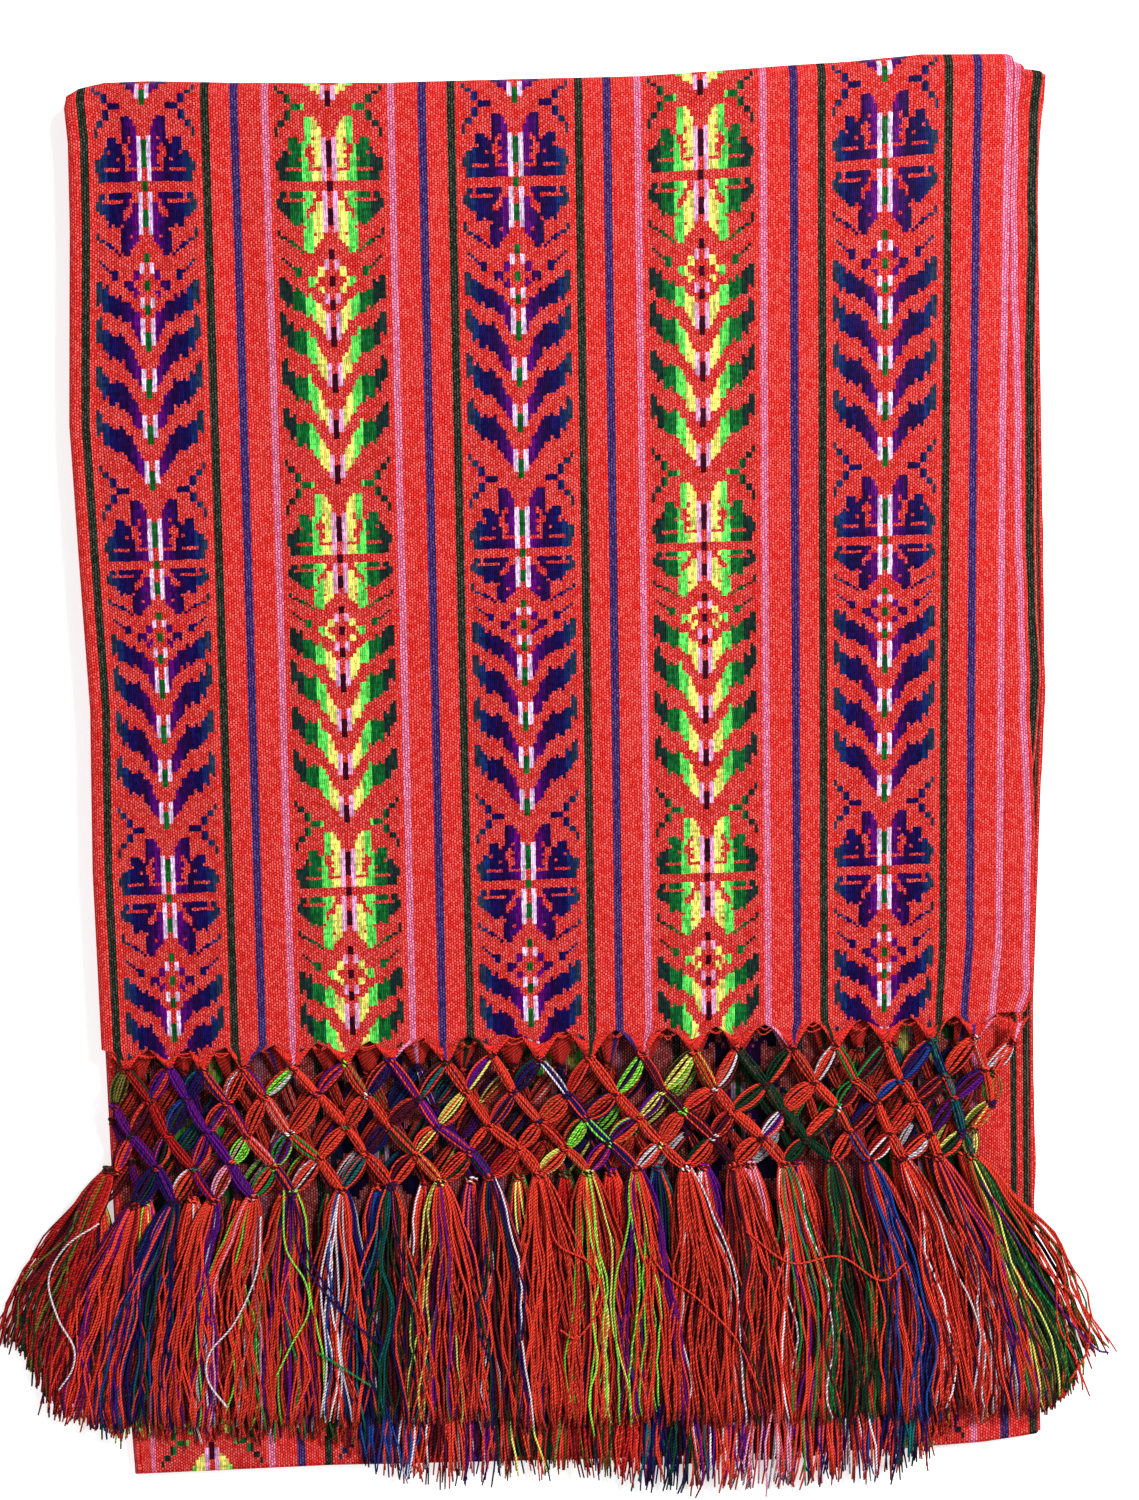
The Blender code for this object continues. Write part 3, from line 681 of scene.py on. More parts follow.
def inside(shape):
    """1 at the points inside a grid and 0 along its edges."""
    mask = np.zeros(shape)
    mask[1:-1, 1:-1] = 1.0
    return mask


def float_lift(kinds):
    """How far each point stands up: the mean of the cells round it."""
    lift = np.zeros((kinds.shape[0] + 1, kinds.shape[1] + 1))
    floats = (kinds == 1.0).astype(float)
    for row in (0, 1):
        for column in (0, 1):
            lift[row:row + kinds.shape[0], column:column + kinds.shape[1]] += floats / 4
    return lift * 0.32


def lower_cloth(surface):
    """The four lower layers: the top one's face, rolled folds on two sides and selvedges on the right."""
    noise = np.random.default_rng(23)
    weave = Weave(LOWER_FIRST_BAND, LOWER_BAND_PITCH, False)
    left_line, right_line = LOWER_LINES
    xs = weave.columns(left_line, right_line)
    fine = np.arange(BOTTOM_Y + HEM_LIP + 4.0, HEM_Y + 8.0, ROW_HEIGHT)
    coarse = np.linspace(HEM_Y + 14.0, TOP_Y - NOSE, 52)
    ys = np.concatenate([[BOTTOM_Y + HEM_LIP + 3.0], fine, coarse])[::-1]
    x_grid, y_grid = np.meshgrid(xs, ys)
    x, y = lower_place(x_grid, y_grid, left_line, right_line)
    middles_x = middles(xs)
    middles_y = middles(ys)
    middles_row = (middles_y - LOWER_ROW_Y) / ROW_HEIGHT
    cells = weave.colours(middles_x[None, :], middles_row[:, None], noise)
    z = LOWER_STACK - 0.15 + float_lift(cells[..., 3]) * (y_grid < HEM_Y + 5.0)
    # painted shade on the lower cloth under the nets and tassels
    covered = smooth(*COVERED_Y, middles_y)[:, None] * smooth(*COVERED_X, middles_x)[None, :]
    cells[..., :3] *= 1.0 - PAINTED_SHADE_UNDER_NETS * covered[..., None]
    strip_left, strip_right = BESIDE_NET_X
    stripe_x, stripe_half = BESIDE_NET_STRIPE
    beside_net = (middles_y > BESIDE_NET_Y)[:, None] & (middles_x > strip_left)[None, :]
    cells[beside_net & (middles_x < strip_right)[None, :]] = (*CORAL, 0.0)
    cells[beside_net & (np.abs(middles_x - stripe_x) < stripe_half)[None, :]] = (*STRIPES[GREEN], 0.5)
    piece = Surface()
    piece.grid(np.stack([x, y, z], axis=-1), cells, x_grid, -y_grid, (0.02, 0.20, 1.0, 1.0))

    # edges: down the left fold, along the foot, up the selvedges and round the back
    path = [(row, 0) for row in range(len(ys))] + [(len(ys) - 1, column) for column in range(1, len(xs))]
    path += [(row, len(xs) - 1) for row in range(len(ys) - 2, -1, -1)]
    path += [(0, column) for column in range(len(xs) - 2, -1, -1)]
    path_rows, path_columns = np.array(path).T
    on_left = (path_columns == 0).astype(float)
    on_right = (path_columns == len(xs) - 1).astype(float)
    on_foot = (path_rows == len(ys) - 1).astype(float)
    on_top = (path_rows == 0).astype(float)
    start = np.stack([x, y, z], axis=-1)[path_rows, path_columns]
    steps = 24
    wander = [uneven_line(start[:, 1], layer) for layer in range(4)]
    layers, across, along = [], [], []
    for step in range(steps + 1):
        share = step / steps
        left_out = LOWER_LIP * (1.0 - half_round(share))
        foot_out = HEM_LIP * (1.0 - half_round((share * 2) % 1.0 if 0 < share < 1 else 0.0))
        top_out = (NOSE - 1.0) * (1 - (1 - share) ** 2) ** 0.5
        layer = min(3, int(share * 4))
        within = share * 4 - layer
        in_layer = 0 < within < 1
        selvedge_out = SELVEDGE_DEPTH * (math.sin(math.pi * within) ** 0.4 if in_layer else 0.0)
        right_out = selvedge_out - SELVEDGE_DEPTH + wander[layer] * in_layer
        new_x = start[:, 0] - on_left * left_out + on_right * right_out
        new_y = start[:, 1] - on_foot * foot_out + on_top * top_out
        new_z = start[:, 2] * (1 - share) + 0.02
        layers.append(np.stack([new_x, new_y, new_z], axis=-1))
        across.append(x_grid[path_rows, path_columns] - on_left * share * math.pi * LOWER_LIP)
        along.append(y_grid[path_rows, path_columns] - on_foot * share * 2 * math.pi * HEM_LIP)
    layers, across, along = np.array(layers), np.array(across), np.array(along)
    mid_across = (across[:-1, :-1] + across[1:, 1:]) / 2
    mid_row = ((along[:-1, :-1] + along[1:, 1:]) / 2 - LOWER_ROW_Y) / ROW_HEIGHT
    edge_cells = weave.colours(mid_across, mid_row, noise)
    on_selvedge = (on_right[:-1] + on_right[1:]) > 0
    edge_cells[:, on_selvedge, :3] = np.array(CORAL) * 0.92
    edge_cells[:, on_selvedge, 3] = 0.0
    piece.grid(layers, edge_cells, across, -along, (0.02, 0.0, 1.0, 0.18))
    return piece.build("cloth_lower", surface)


def under_cloth(surface):
    """The lowest layer, seen from below."""
    noise = np.random.default_rng(29)
    weave = Weave(FIRST_BAND, BAND_PITCH, True)
    left_line, right_line = LOWER_LINES[0], LOWER_LINES[1] - 2.0
    xs = weave.columns(left_line, right_line)
    ys = np.linspace(TOP_Y - 1.6, BOTTOM_Y + HEM_LIP + 0.6, 140)
    x_grid, y_grid = np.meshgrid(xs, ys)
    x, y = lower_place(x_grid, y_grid, left_line, right_line + 2.0)
    middles_x = middles(xs)
    middles_row = (middles(ys) - LOWER_ROW_Y) / ROW_HEIGHT
    cells = weave.colours(middles_x[None, :], middles_row[:, None], noise)
    puckers = 0.12 + 0.10 * np.sin(x / 9.0 + y / 23.0) * np.sin(y / 14.0)
    piece = Surface()
    piece.grid(np.stack([x, y, puckers], axis=-1), cells, x_grid, -y_grid, (0.0, 0.0, 1.0, 1.0), flip=True)
    return piece.build("cloth_underside", surface)


def lower_place(x, y, left_line, right_line):
    """Where a place of the lower layers' weave lies in the plan."""
    below = TOP_Y - y
    left = side_edge(below, LEFT) + LOWER_LIP
    right = side_edge(below, LOWER_SELVEDGE)
    near_left = smooth(-163.0, left_line, x)
    near_right = smooth(150.0, right_line, x)
    moved = x + (left - left_line) * near_left + (right - right_line) * near_right
    top_rise = read(TOP_FOLD, moved) * smooth(170.0, 258.0, y)
    foot_rise = read(BOTTOM_FOLD, moved) * smooth(-200.0, -262.0, y)
    return moved, y + SKEW * moved + (top_rise + foot_rise)


def half_round(share):
    return 1.0 - math.sqrt(max(0.0, 1.0 - (2.0 * share - 1.0) ** 2))


def uneven_line(y, salt):
    """A slow wander of an edge along the cloth."""
    return (0.55 * np.sin(y / 31.0 + salt * 2.1) + 0.35 * np.sin(y / 12.7 + salt * 4.7)
            + 0.18 * np.sin(y / 4.9 + salt * 1.3))


def inner_cloth(surface):
    """The three layers inside the upper stack, whose selvedges show in steps on the right."""
    noise = np.random.default_rng(37)
    piece = Surface()
    weave = Weave(FIRST_BAND, BAND_PITCH, True)
    for number, (reach, height, stripe_shift) in enumerate(INNER_LAYERS):
        ys = np.linspace(TOP_Y - NOSE, HEM_Y + 0.4, 120)
        turn = np.linspace(math.pi, 0.0, 14)[:-1]
        below = TOP_Y - np.concatenate([np.full(len(turn), ys[0]), ys])
        edge = side_edge(below, INNER_SELVEDGE) + read(reach, below)
        edge = edge + uneven_line(below, number + 5.0) * 0.6
        offsets = np.concatenate([INNER_COLUMNS, [out for out, _ in INNER_LIP]])
        sink = np.concatenate([np.zeros(len(INNER_COLUMNS)), [down for _, down in INNER_LIP]])
        x = edge[:, None] + offsets[None, :]
        rise = read(TOP_FOLD, x)
        above = height + sink - TURN_HEIGHT
        flat = len(turn)
        z = np.empty(x.shape)
        y = np.empty(x.shape)
        z[flat:] = height + sink + wave(x[flat:], ys[:, None]) * 0.9
        y[flat:] = ys[:, None]
        z[:flat] = TURN_HEIGHT + above[None, :] * np.cos(turn)[:, None]
        y[:flat] = ys[0] + above[None, :] * np.sin(turn)[:, None] * 0.95
        y = y + SKEW * x + rise * smooth(170.0, 258.0, y)
        place = np.concatenate([INNER_COLUMNS, INNER_LIP_WEAVE]) + stripe_shift
        row_count = x.shape[0] - 1
        cells = weave.colours(np.broadcast_to(middles(place), (row_count, len(place) - 1)),
                              np.zeros((row_count, 1)), noise)
        grid_across = np.broadcast_to(place, x.shape)
        along = np.concatenate([-ys[0] - (math.pi - turn) * 5, -ys])
        piece.grid(np.stack([x, y, z], axis=-1), cells, grid_across, along[:, None] * np.ones(x.shape),
                   (0.02, number / 3 + 0.01, 0.98, number / 3 + 0.32))
    return piece.build("cloth_inner", surface)


# Yarns

PLY_TURN = 2.7


def yarn_material(name):
    """Two plies twisted round each other, each with its own colour, with painted shade in the groove between
    them and a little painted highlight on their crowns.
    """
    nodes = Nodes(name)
    first = nodes.add("ShaderNodeVertexColor", layer_name="ply_one")
    second = nodes.add("ShaderNodeVertexColor", layer_name="ply_two")
    places = nodes.add("ShaderNodeUVMap", uv_map="twist")
    split = nodes.add("ShaderNodeSeparateXYZ")
    nodes.link(places.outputs[0], split.inputs[0])
    turn = nodes.math("MULTIPLY_ADD", split.outputs[1], 1.0 / PLY_TURN, split.outputs[0])
    side = nodes.math("COSINE", nodes.math("MULTIPLY", turn, math.tau))
    colour = nodes.mix(nodes.ramp(side, -0.25, 0.25), second.outputs["Color"], first.outputs["Color"])
    fullness = nodes.math("ABSOLUTE", side)
    # painted shade in the groove, a little painted highlight on the plies' crowns
    shade = nodes.ramp(fullness, 0.0, 0.8, 0.22, 1.12)
    stretched = nodes.add("ShaderNodeMapping", vector_type="POINT")
    stretched.inputs["Scale"].default_value = (5.0, 0.45, 1.0)
    nodes.link(places.outputs[0], stretched.inputs["Vector"])
    fibre = nodes.ramp(nodes.noise(stretched.outputs[0], 1.0, 2.0), 0.3, 0.7, 0.84, 1.16)
    result = nodes.mix(1.0, nodes.mix(1.0, colour, shade, "MULTIPLY"), fibre, "MULTIPLY")
    nodes.link(result, nodes.shader.inputs["Base Color"])
    nodes.shader.inputs["Roughness"].default_value = 0.72
    nodes.shader.inputs["Specular IOR Level"].default_value = 0.12
    nodes.bump(nodes.math("POWER", fullness, 0.6), 0.0003)
    return nodes.material


class Yarns:
    """Round yarns of one piece, gathered one by one with the colours of their two plies."""

    SIDES = 4

    def __init__(self):
        self.points, self.quads, self.first, self.second = [], [], [], []
        self.twist, self.lengths, self.loops = [], [], []
        self.count = 0

    def add(self, path, radius, colour, second=None, outward=None):
        """Adds a yarn along a path of points; outward gives each ring's own side where the path winds."""
        path = np.asarray(path, float)
        rings = len(path)
        tangent = np.gradient(path, axis=0)
        tangent /= np.linalg.norm(tangent, axis=1, keepdims=True) + 1e-9
        side = np.cross(tangent, (0.0, 0.0, 1.0)) if outward is None else outward
        side = side / (np.linalg.norm(side, axis=1, keepdims=True) + 1e-9)
        up = np.cross(side, tangent)
        angles = (np.arange(self.SIDES) + 0.5) * math.tau / self.SIDES
        radius = np.broadcast_to(np.asarray(radius, float), (rings,))[:, None, None]
        ring = path[:, None] + radius * (np.cos(angles)[None, :, None] * side[:, None]
                                         + np.sin(angles)[None, :, None] * up[:, None])
        length = np.concatenate([[0.0], np.cumsum(np.linalg.norm(np.diff(path, axis=0), axis=1))])
        number = self.count + np.arange(rings * self.SIDES).reshape(rings, self.SIDES)
        after = np.roll(number, -1, axis=1)
        body = np.stack([number[:-1], number[1:], after[1:], after[:-1]], axis=2).reshape(-1, 4)
        caps = np.stack([number[0], number[-1][::-1]])
        u_low = np.arange(self.SIDES) / self.SIDES
        u_high = u_low + 1.0 / self.SIDES
        v = np.broadcast_to(length[:, None], (rings, self.SIDES))
        corners = [(u_low, v[:-1]), (u_low, v[1:]), (u_high, v[1:]), (u_high, v[:-1])]
        twist = np.stack([np.stack(np.broadcast_arrays(u, along), axis=-1) for u, along in corners], axis=2)
        cap_twist = np.zeros((2, 4, 2))
        cap_twist[1, :, 1] = length[-1]
        cap_twist[:, :, 0] += np.array([0.0, 0.2, 0.2, 0.0])
        cap_twist[:, :, 1] += np.array([0.0, 0.0, 0.6, 0.6])
        self.points.append(ring.reshape(-1, 3))
        self.quads += [body, caps]
        self.twist += [twist.reshape(-1, 4, 2), cap_twist]
        self.loops.append(len(body) + 2)
        self.lengths.append(length[-1] + 0.6)
        count = rings * self.SIDES
        second = colour if second is None else second
        colour, second = np.minimum(colour, 0.94), np.minimum(second, 0.94)
        self.first.append(np.broadcast_to((*colour, 1.0), (count, 4)))
        self.second.append(np.broadcast_to((*second, 1.0), (count, 4)))
        self.count += count

    def build(self, name, surface):
        obj = mesh_object(name, np.concatenate(self.points) * MM, np.concatenate(self.quads), surface)
        me = obj.data
        for layer, values in (("ply_one", self.first), ("ply_two", self.second)):
            data = me.color_attributes.new(layer, "FLOAT_COLOR", "POINT").data
            data.foreach_set("color", np.concatenate(values).ravel())
        twist = np.concatenate(self.twist)
        phase = np.repeat(np.arange(len(self.loops)) * 0.618 % 1.0, self.loops)[:, None, None]
        me.uv_layers.new(name="twist").data.foreach_set("uv", (twist + phase * [1.0, 0.0]).ravel())
        me.uv_layers.new(name="OFBake").data.foreach_set("uv", self.strips(twist).ravel())
        return obj

    def strips(self, twist):
        """Each yarn's own strip of the map, side by side in rows."""
        total = len(self.lengths)
        longest = max(self.lengths)
        rows = max(1, round(math.sqrt(total * 4.4 / longest)))
        in_row = math.ceil(total / rows)
        yarn = np.repeat(np.arange(total), self.loops)
        column, row = yarn % in_row, yarn // in_row
        u = (column[:, None] + 0.04 + 0.9 * twist[..., 0]) / in_row
        v = (row[:, None] + 0.02 + 0.95 * twist[..., 1] / longest) / rows
        return np.stack([u, v], axis=-1)


# Knotted nets

def knot_places(first_row, last_row, rows):
    """Knots row by row: the odd rows have one knot more, between and outside those above."""
    last = len(rows) - 1
    places = []
    for number, depths in enumerate(rows):
        across = [mix(upper, lower, number / last) for upper, lower in zip(first_row, last_row)]
        left_end, right_end = across[0], across[-1]
        if number % 2:
            inner = [(here + after) / 2 for here, after in zip(across, across[1:])]
            across = [2 * left_end - inner[0]] + inner + [2 * right_end - inner[-1]]
        row = []
        for x in across:
            share = (x - left_end) / (right_end - left_end)
            left, middle, right = depths
            depth = mix(left, middle, share * 2) if share < 0.5 else mix(middle, right, share * 2 - 1)
            row.append((x, HEM_Y - depth + SKEW * x))
        places.append(row)
    return places


def loosened(places, seed):
    """The same knots a little out of line, but for the last row, which the tassels hang from."""
    noise = np.random.default_rng(seed)
    return [[(x + noise.uniform(-1.7, 1.7), y + noise.uniform(-1.5, 1.5)) for x, y in row]
            for row in places[:-1]] + [places[-1]]


def bundle(yarns, start, end, count, width, thick, radius, colours, bow=0.0, pinch=0.2):
    """Yarns side by side from one knot to the next, full in the middle and drawn together at the ends."""
    start, end = np.array(start, float), np.array(end, float)
    way = end - start
    across = np.array([-way[1], way[0], 0.0]) / np.linalg.norm(way[:2])
    t = np.linspace(0.0, 1.0, 9)
    full = pinch + (1.0 - pinch) * np.sin(math.pi * t) ** 0.7
    for number, (first, second) in enumerate(colours):
        turn = math.pi * (number + 0.5) / count
        offset = -math.cos(turn) * width
        height = math.sin(turn) * thick
        loose = 0.3 * math.sin(number * 2.7 + start[0])
        path = start + way * t[:, None]
        path = path + across * ((offset + loose) * full + bow * np.sin(math.pi * t))[:, None]
        path[:, 2] += height * full
        yarns.add(path, radius * (0.8 + 0.2 * full), first, second)


def wrapped_knot(yarns, centre, direction, turns, wide, thick, long, radius, colour, second=None):
    """A yarn wound round a strand."""
    points = max(6, int(turns * 9))
    angle = np.linspace(0.0, math.tau * turns, points) + 0.8
    along = np.array([math.cos(direction), math.sin(direction), 0.0])
    across = np.array([-along[1], along[0], 0.0])
    up = np.array([0.0, 0.0, 1.0])
    outward = np.cos(angle)[:, None] * across + np.sin(angle)[:, None] * up
    path = (np.array(centre) + along * np.linspace(-long / 2, long / 2, points)[:, None]
            + np.cos(angle)[:, None] * across * wide + np.sin(angle)[:, None] * up * thick)
    yarns.add(path, radius, colour, second, outward)


# a dark maroon yarn; as a dark second ply and in the tassels' shade yarns it is painted shade
DARK = linear(58, 6, 14)


def cotton(names):
    return [COTTON[name] for name in names.split()]


# What each front tassel is made of, from the left: four main colours, then two that come as single yarns
# The dark mixtures of the first two on the left are partly their yarns' colour and partly painted shade
TASSELS = (
    "maroon deep forest deep coral olive", "coral maroon deep coral coral purple",
    "navy teal coral navy blue forest", "coral coral purple coral purple white",
    "coral coral pink coral lime white", "coral purple coral navy green lime",
    "coral coral navy coral blue white", "forest coral teal navy coral maroon",
    "coral coral maroon coral purple yellow", "maroon coral navy forest coral white",
    "coral coral coral deep coral coral", "coral navy coral coral yellow lime",
    "coral purple coral coral lime yellow", "coral coral coral coral coral white",
    "coral forest coral maroon maroon coral", "coral coral purple coral green white",
    "forest coral forest coral maroon green", "coral blue coral coral navy maroon",
    "coral coral maroon coral deep white", "coral purple coral maroon navy white",
    "coral coral forest olive green yellow",
)
MAIN_COLOURS = 4
CORD_COLOURS = (
    "coral", "purple", "deep", "purple", "coral", "coral", "coral", "coral", "purple", "coral", "coral",
    "navy", "coral", "maroon", "coral", "forest", "coral", "coral", "coral", "teal", "coral", "coral", "pink",
)


def net(places, heights, seed, shade=1.0, outer_tassel=False):
    """A whole knotted net: loose leaf-shaped strands one way, firmer cords the other way, and wound knots."""
    noise = np.random.default_rng(seed)
    yarns = Yarns()
    last = len(places) - 1

    def tint(colour, low=0.7, high=1.12):
        # a random tone per yarn, times shade: painted shade where a whole net is darkened
        return tuple(np.array(colour) * shade * noise.uniform(low, high))

    def plies(colour):
        chance = noise.random()
        first = tint(colour)
        # painted shade: the second ply is a darker copy of the first
        return first, tuple(np.array(first) * (0.45 if chance < 0.4 else 0.85))

    def height(number):
        return mix(heights[0], heights[1], min(1.0, number / 2))

    for number in range(last):
        shift = 1 - number % 2
        low, high = height(number), height(number + 1)
        for place, (x, y) in enumerate(places[number]):
            left, right = place - 1 + shift, place + shift
            mixture = cotton(TASSELS[min(len(TASSELS) - 1, max(0, round(place + number * 0.4)))])
            if left >= 0:
                lower = places[number + 1][left]
                groups = [mixture[noise.integers(len(mixture))] for _ in range(3)]
                picked = [groups[0]] * 2 + [groups[1]] * 3 + [groups[2]] * 2 + [DARK, groups[1]]
                picked = [picked[n] for n in noise.permutation(9)] if noise.random() < 0.5 else picked
                bundle(yarns, (x, y, low), (*lower, high), 9, 3.15 + noise.uniform(-0.5, 0.4), 1.6, 0.47,
                       [plies(colour) for colour in picked], bow=noise.uniform(-0.8, 0.8))
            tied_off = outer_tassel and number == last - 1 and place == 0
            if right < len(places[number + 1]) and not tied_off:
                lower = places[number + 1][right]
                diagonal = place - (number + 1) // 2 + 2
                main = COTTON[CORD_COLOURS[diagonal % len(CORD_COLOURS)]]
                other = mixture[noise.integers(len(mixture))] if diagonal % 3 else main
                picked = [main, main, other, main, main, other, main]
                width = 1.6 + noise.uniform(-0.3, 0.35)
                bundle(yarns, (x, y, low + 0.4), (*lower, high + 0.4), 7, width, 1.6, 0.48,
                       [plies(colour) for colour in picked], bow=noise.uniform(-0.5, 0.5), pinch=0.55)
    for number, row in enumerate(places[:-1]):
        for place, (x, y) in enumerate(row):
            mixture = cotton(TASSELS[min(len(TASSELS) - 1, place)])
            diagonal = place - (number + 1) // 2 + 2
            main = COTTON[CORD_COLOURS[diagonal % len(CORD_COLOURS)]]
            for turn_way, turns in ((-60, 1.7), (-118, 1.2)):
                colour = main if noise.random() < 0.5 else mixture[noise.integers(len(mixture))]
                direction = math.radians(turn_way + noise.uniform(-16, 16))
                centre = (x + noise.uniform(-0.4, 0.4), y + noise.uniform(-0.6, 0.6), height(number) + 0.4)
                # painted shade: the wound yarn's second ply is dark
                wrapped_knot(yarns, centre, direction, turns, 1.9, 1.75, 1.7, 0.5, tint(colour), tint(DARK))
    return yarns, noise, tint


def fan_edges(first_row):
    """Where along the hem the warps part between one knot and the next."""
    between = [(a[0] + b[0]) / 2 for a, b in zip(first_row, first_row[1:])]
    first, last = first_row[0][0], first_row[-1][0]
    return [first - FAN_LEFT] + between[:-1] + [last - FAN_LAST, last + FAN_RIGHT]


def header(yarns, noise, tint, first_row, z, warp_at, hem_z, depth=0.0, pull=0.0):
    """Warps drawn down from the cloth's end into each first knot, and loose weft ends between them."""
    edges = fan_edges(first_row)
    for number, (x, y) in enumerate(first_row):
        left, right = edges[number] + 0.4, edges[number + 1] - 0.4
        count = max(8, round((right - left) / 0.95))
        for place in range(count):
            share = (place + 0.5) / count
            start_x = mix(left, right, share)
            hem = HEM_Y + SKEW * start_x
            middle = 1.0 - abs(2 * share - 1.0) ** 2
            t = np.linspace(0.0, 1.0, 7)
            path_x = mix(mix(start_x, x, pull * (0.4 + 0.6 * middle)), x + (share - 0.5) * 2.4, t ** 0.85)
            path_y = mix(hem + 0.8 - depth * (0.25 + 0.75 * middle), y + 0.4, t)
            path_z = mix(hem_z, z + 0.4 + 0.7 * middle, t) + 0.5 * np.sin(math.pi * t)
            colour = warp_at(start_x)
            first = tint(colour)
            # painted shade: the second ply is a darker copy of the first
            other = tuple(np.array(first) * (0.5 if noise.random() < 0.3 else 0.85))
            yarns.add(np.stack([path_x, path_y, path_z], axis=1), 0.47, first, other)
        for _ in range(2 if number else 0):
            span = noise.uniform(3.5, 9.0)
            hem = HEM_Y + SKEW * edges[number]
            t = np.linspace(0.0, 1.0, 8)
            sag = noise.uniform(0.6, 2.2) * np.sin(math.pi * t)
            sag = sag + noise.uniform(-0.5, 0.5) * np.sin(math.tau * t)
            path = np.stack([edges[number] + span * (t - 0.5), hem - noise.uniform(-0.2, 2.2) - sag,
                             np.full(8, hem_z - 0.2)], axis=1)
            yarns.add(path, 0.28, tint(COTTON["coral"]))


# Tassels

# Dark yarns laid low under each tassel: painted shade between the hanging yarns
PAINTED_SHADE_YARNS = 11
PAINTED_SHADE_YARNS_AT_ENDS = 16
YARN_SHARES = (2.1, 1.5, 1.2, 1.0)  # from the outer tassel in: share of the usual count of yarns
BELLS = (1.35, 1.6, 2.0, 2.4)  # and how soon they spread


def past_edge(x, y):
    below = TOP_Y - y
    return np.maximum(np.maximum(side_edge(below, LEFT) - x, x - side_edge(below, LOWER_SELVEDGE)),
                      BOTTOM_Y + read(BOTTOM_FOLD, x) + SKEW * x - y) - OVERHANG


def drop(x, y, run, height):
    share = np.clip(past_edge(x, y) / run, 0.0, 1.0)
    return height * share * share * (3 - 2 * share)


STRAYS = {  # loose threads over the tassels: colour, places
    "yarns_front_02": (
        ("white", (
            (-180, -157), (-193, -166), (-201, -180), (-198, -195), (-192, -206), (-193, -215), (-199, -224),
        )),
    ),
    "yarns_front_05": (
        ("white", ((-119, -156), (-121, -177), (-130, -197), (-140, -209), (-141, -220), (-134, -231))),
        ("lime", ((-110, -146), (-110, -168), (-103, -182), (-102, -194), (-109, -207), (-115, -219))),
    ),
    "yarns_front_06": (
        ("navy", ((-107, -146), (-105, -170), (-96, -186), (-86, -198), (-74, -208))),
        ("navy", ((-106, -150), (-100, -175), (-91, -190), (-83, -210), (-77, -228))),
        ("green", ((-99, -210), (-89, -217), (-79, -224))),
    ),
    "yarns_front_11": (
        ("coral", ((-13, -145), (-7, -169), (6, -178), (10, -193), (1, -207), (-6, -204))),
    ),
    "yarns_front_14": (
        ("coral", ((25, -150), (31, -178), (48, -194), (62, -210), (71, -231))),
        ("coral", ((66, -167), (83, -180), (102, -178), (118, -188), (128, -181))),
    ),
    "yarns_front_21": (
        ("coral", ((161, -156), (183, -186), (198, -202), (200, -218), (192, -231))),
        ("purple", ((157, -150), (176, -182), (190, -204), (203, -219), (209, -222))),
    ),
}


def catmull(values, keys, fine):
    """A soft line through values given at even keys."""
    values = np.array([2 * values[0] - values[1], *values, 2 * values[-1] - values[-2]], float)
    place = fine * (len(keys) - 1)
    number = np.minimum(place.astype(int), len(keys) - 2)
    t = place - number
    before, start, end, after = (values[number + n] for n in range(4))
    return 0.5 * (2 * start + (end - before) * t + (2 * before - 5 * start + 4 * end - after) * t ** 2
                  + (3 * start - before - 3 * end + after) * t ** 3)


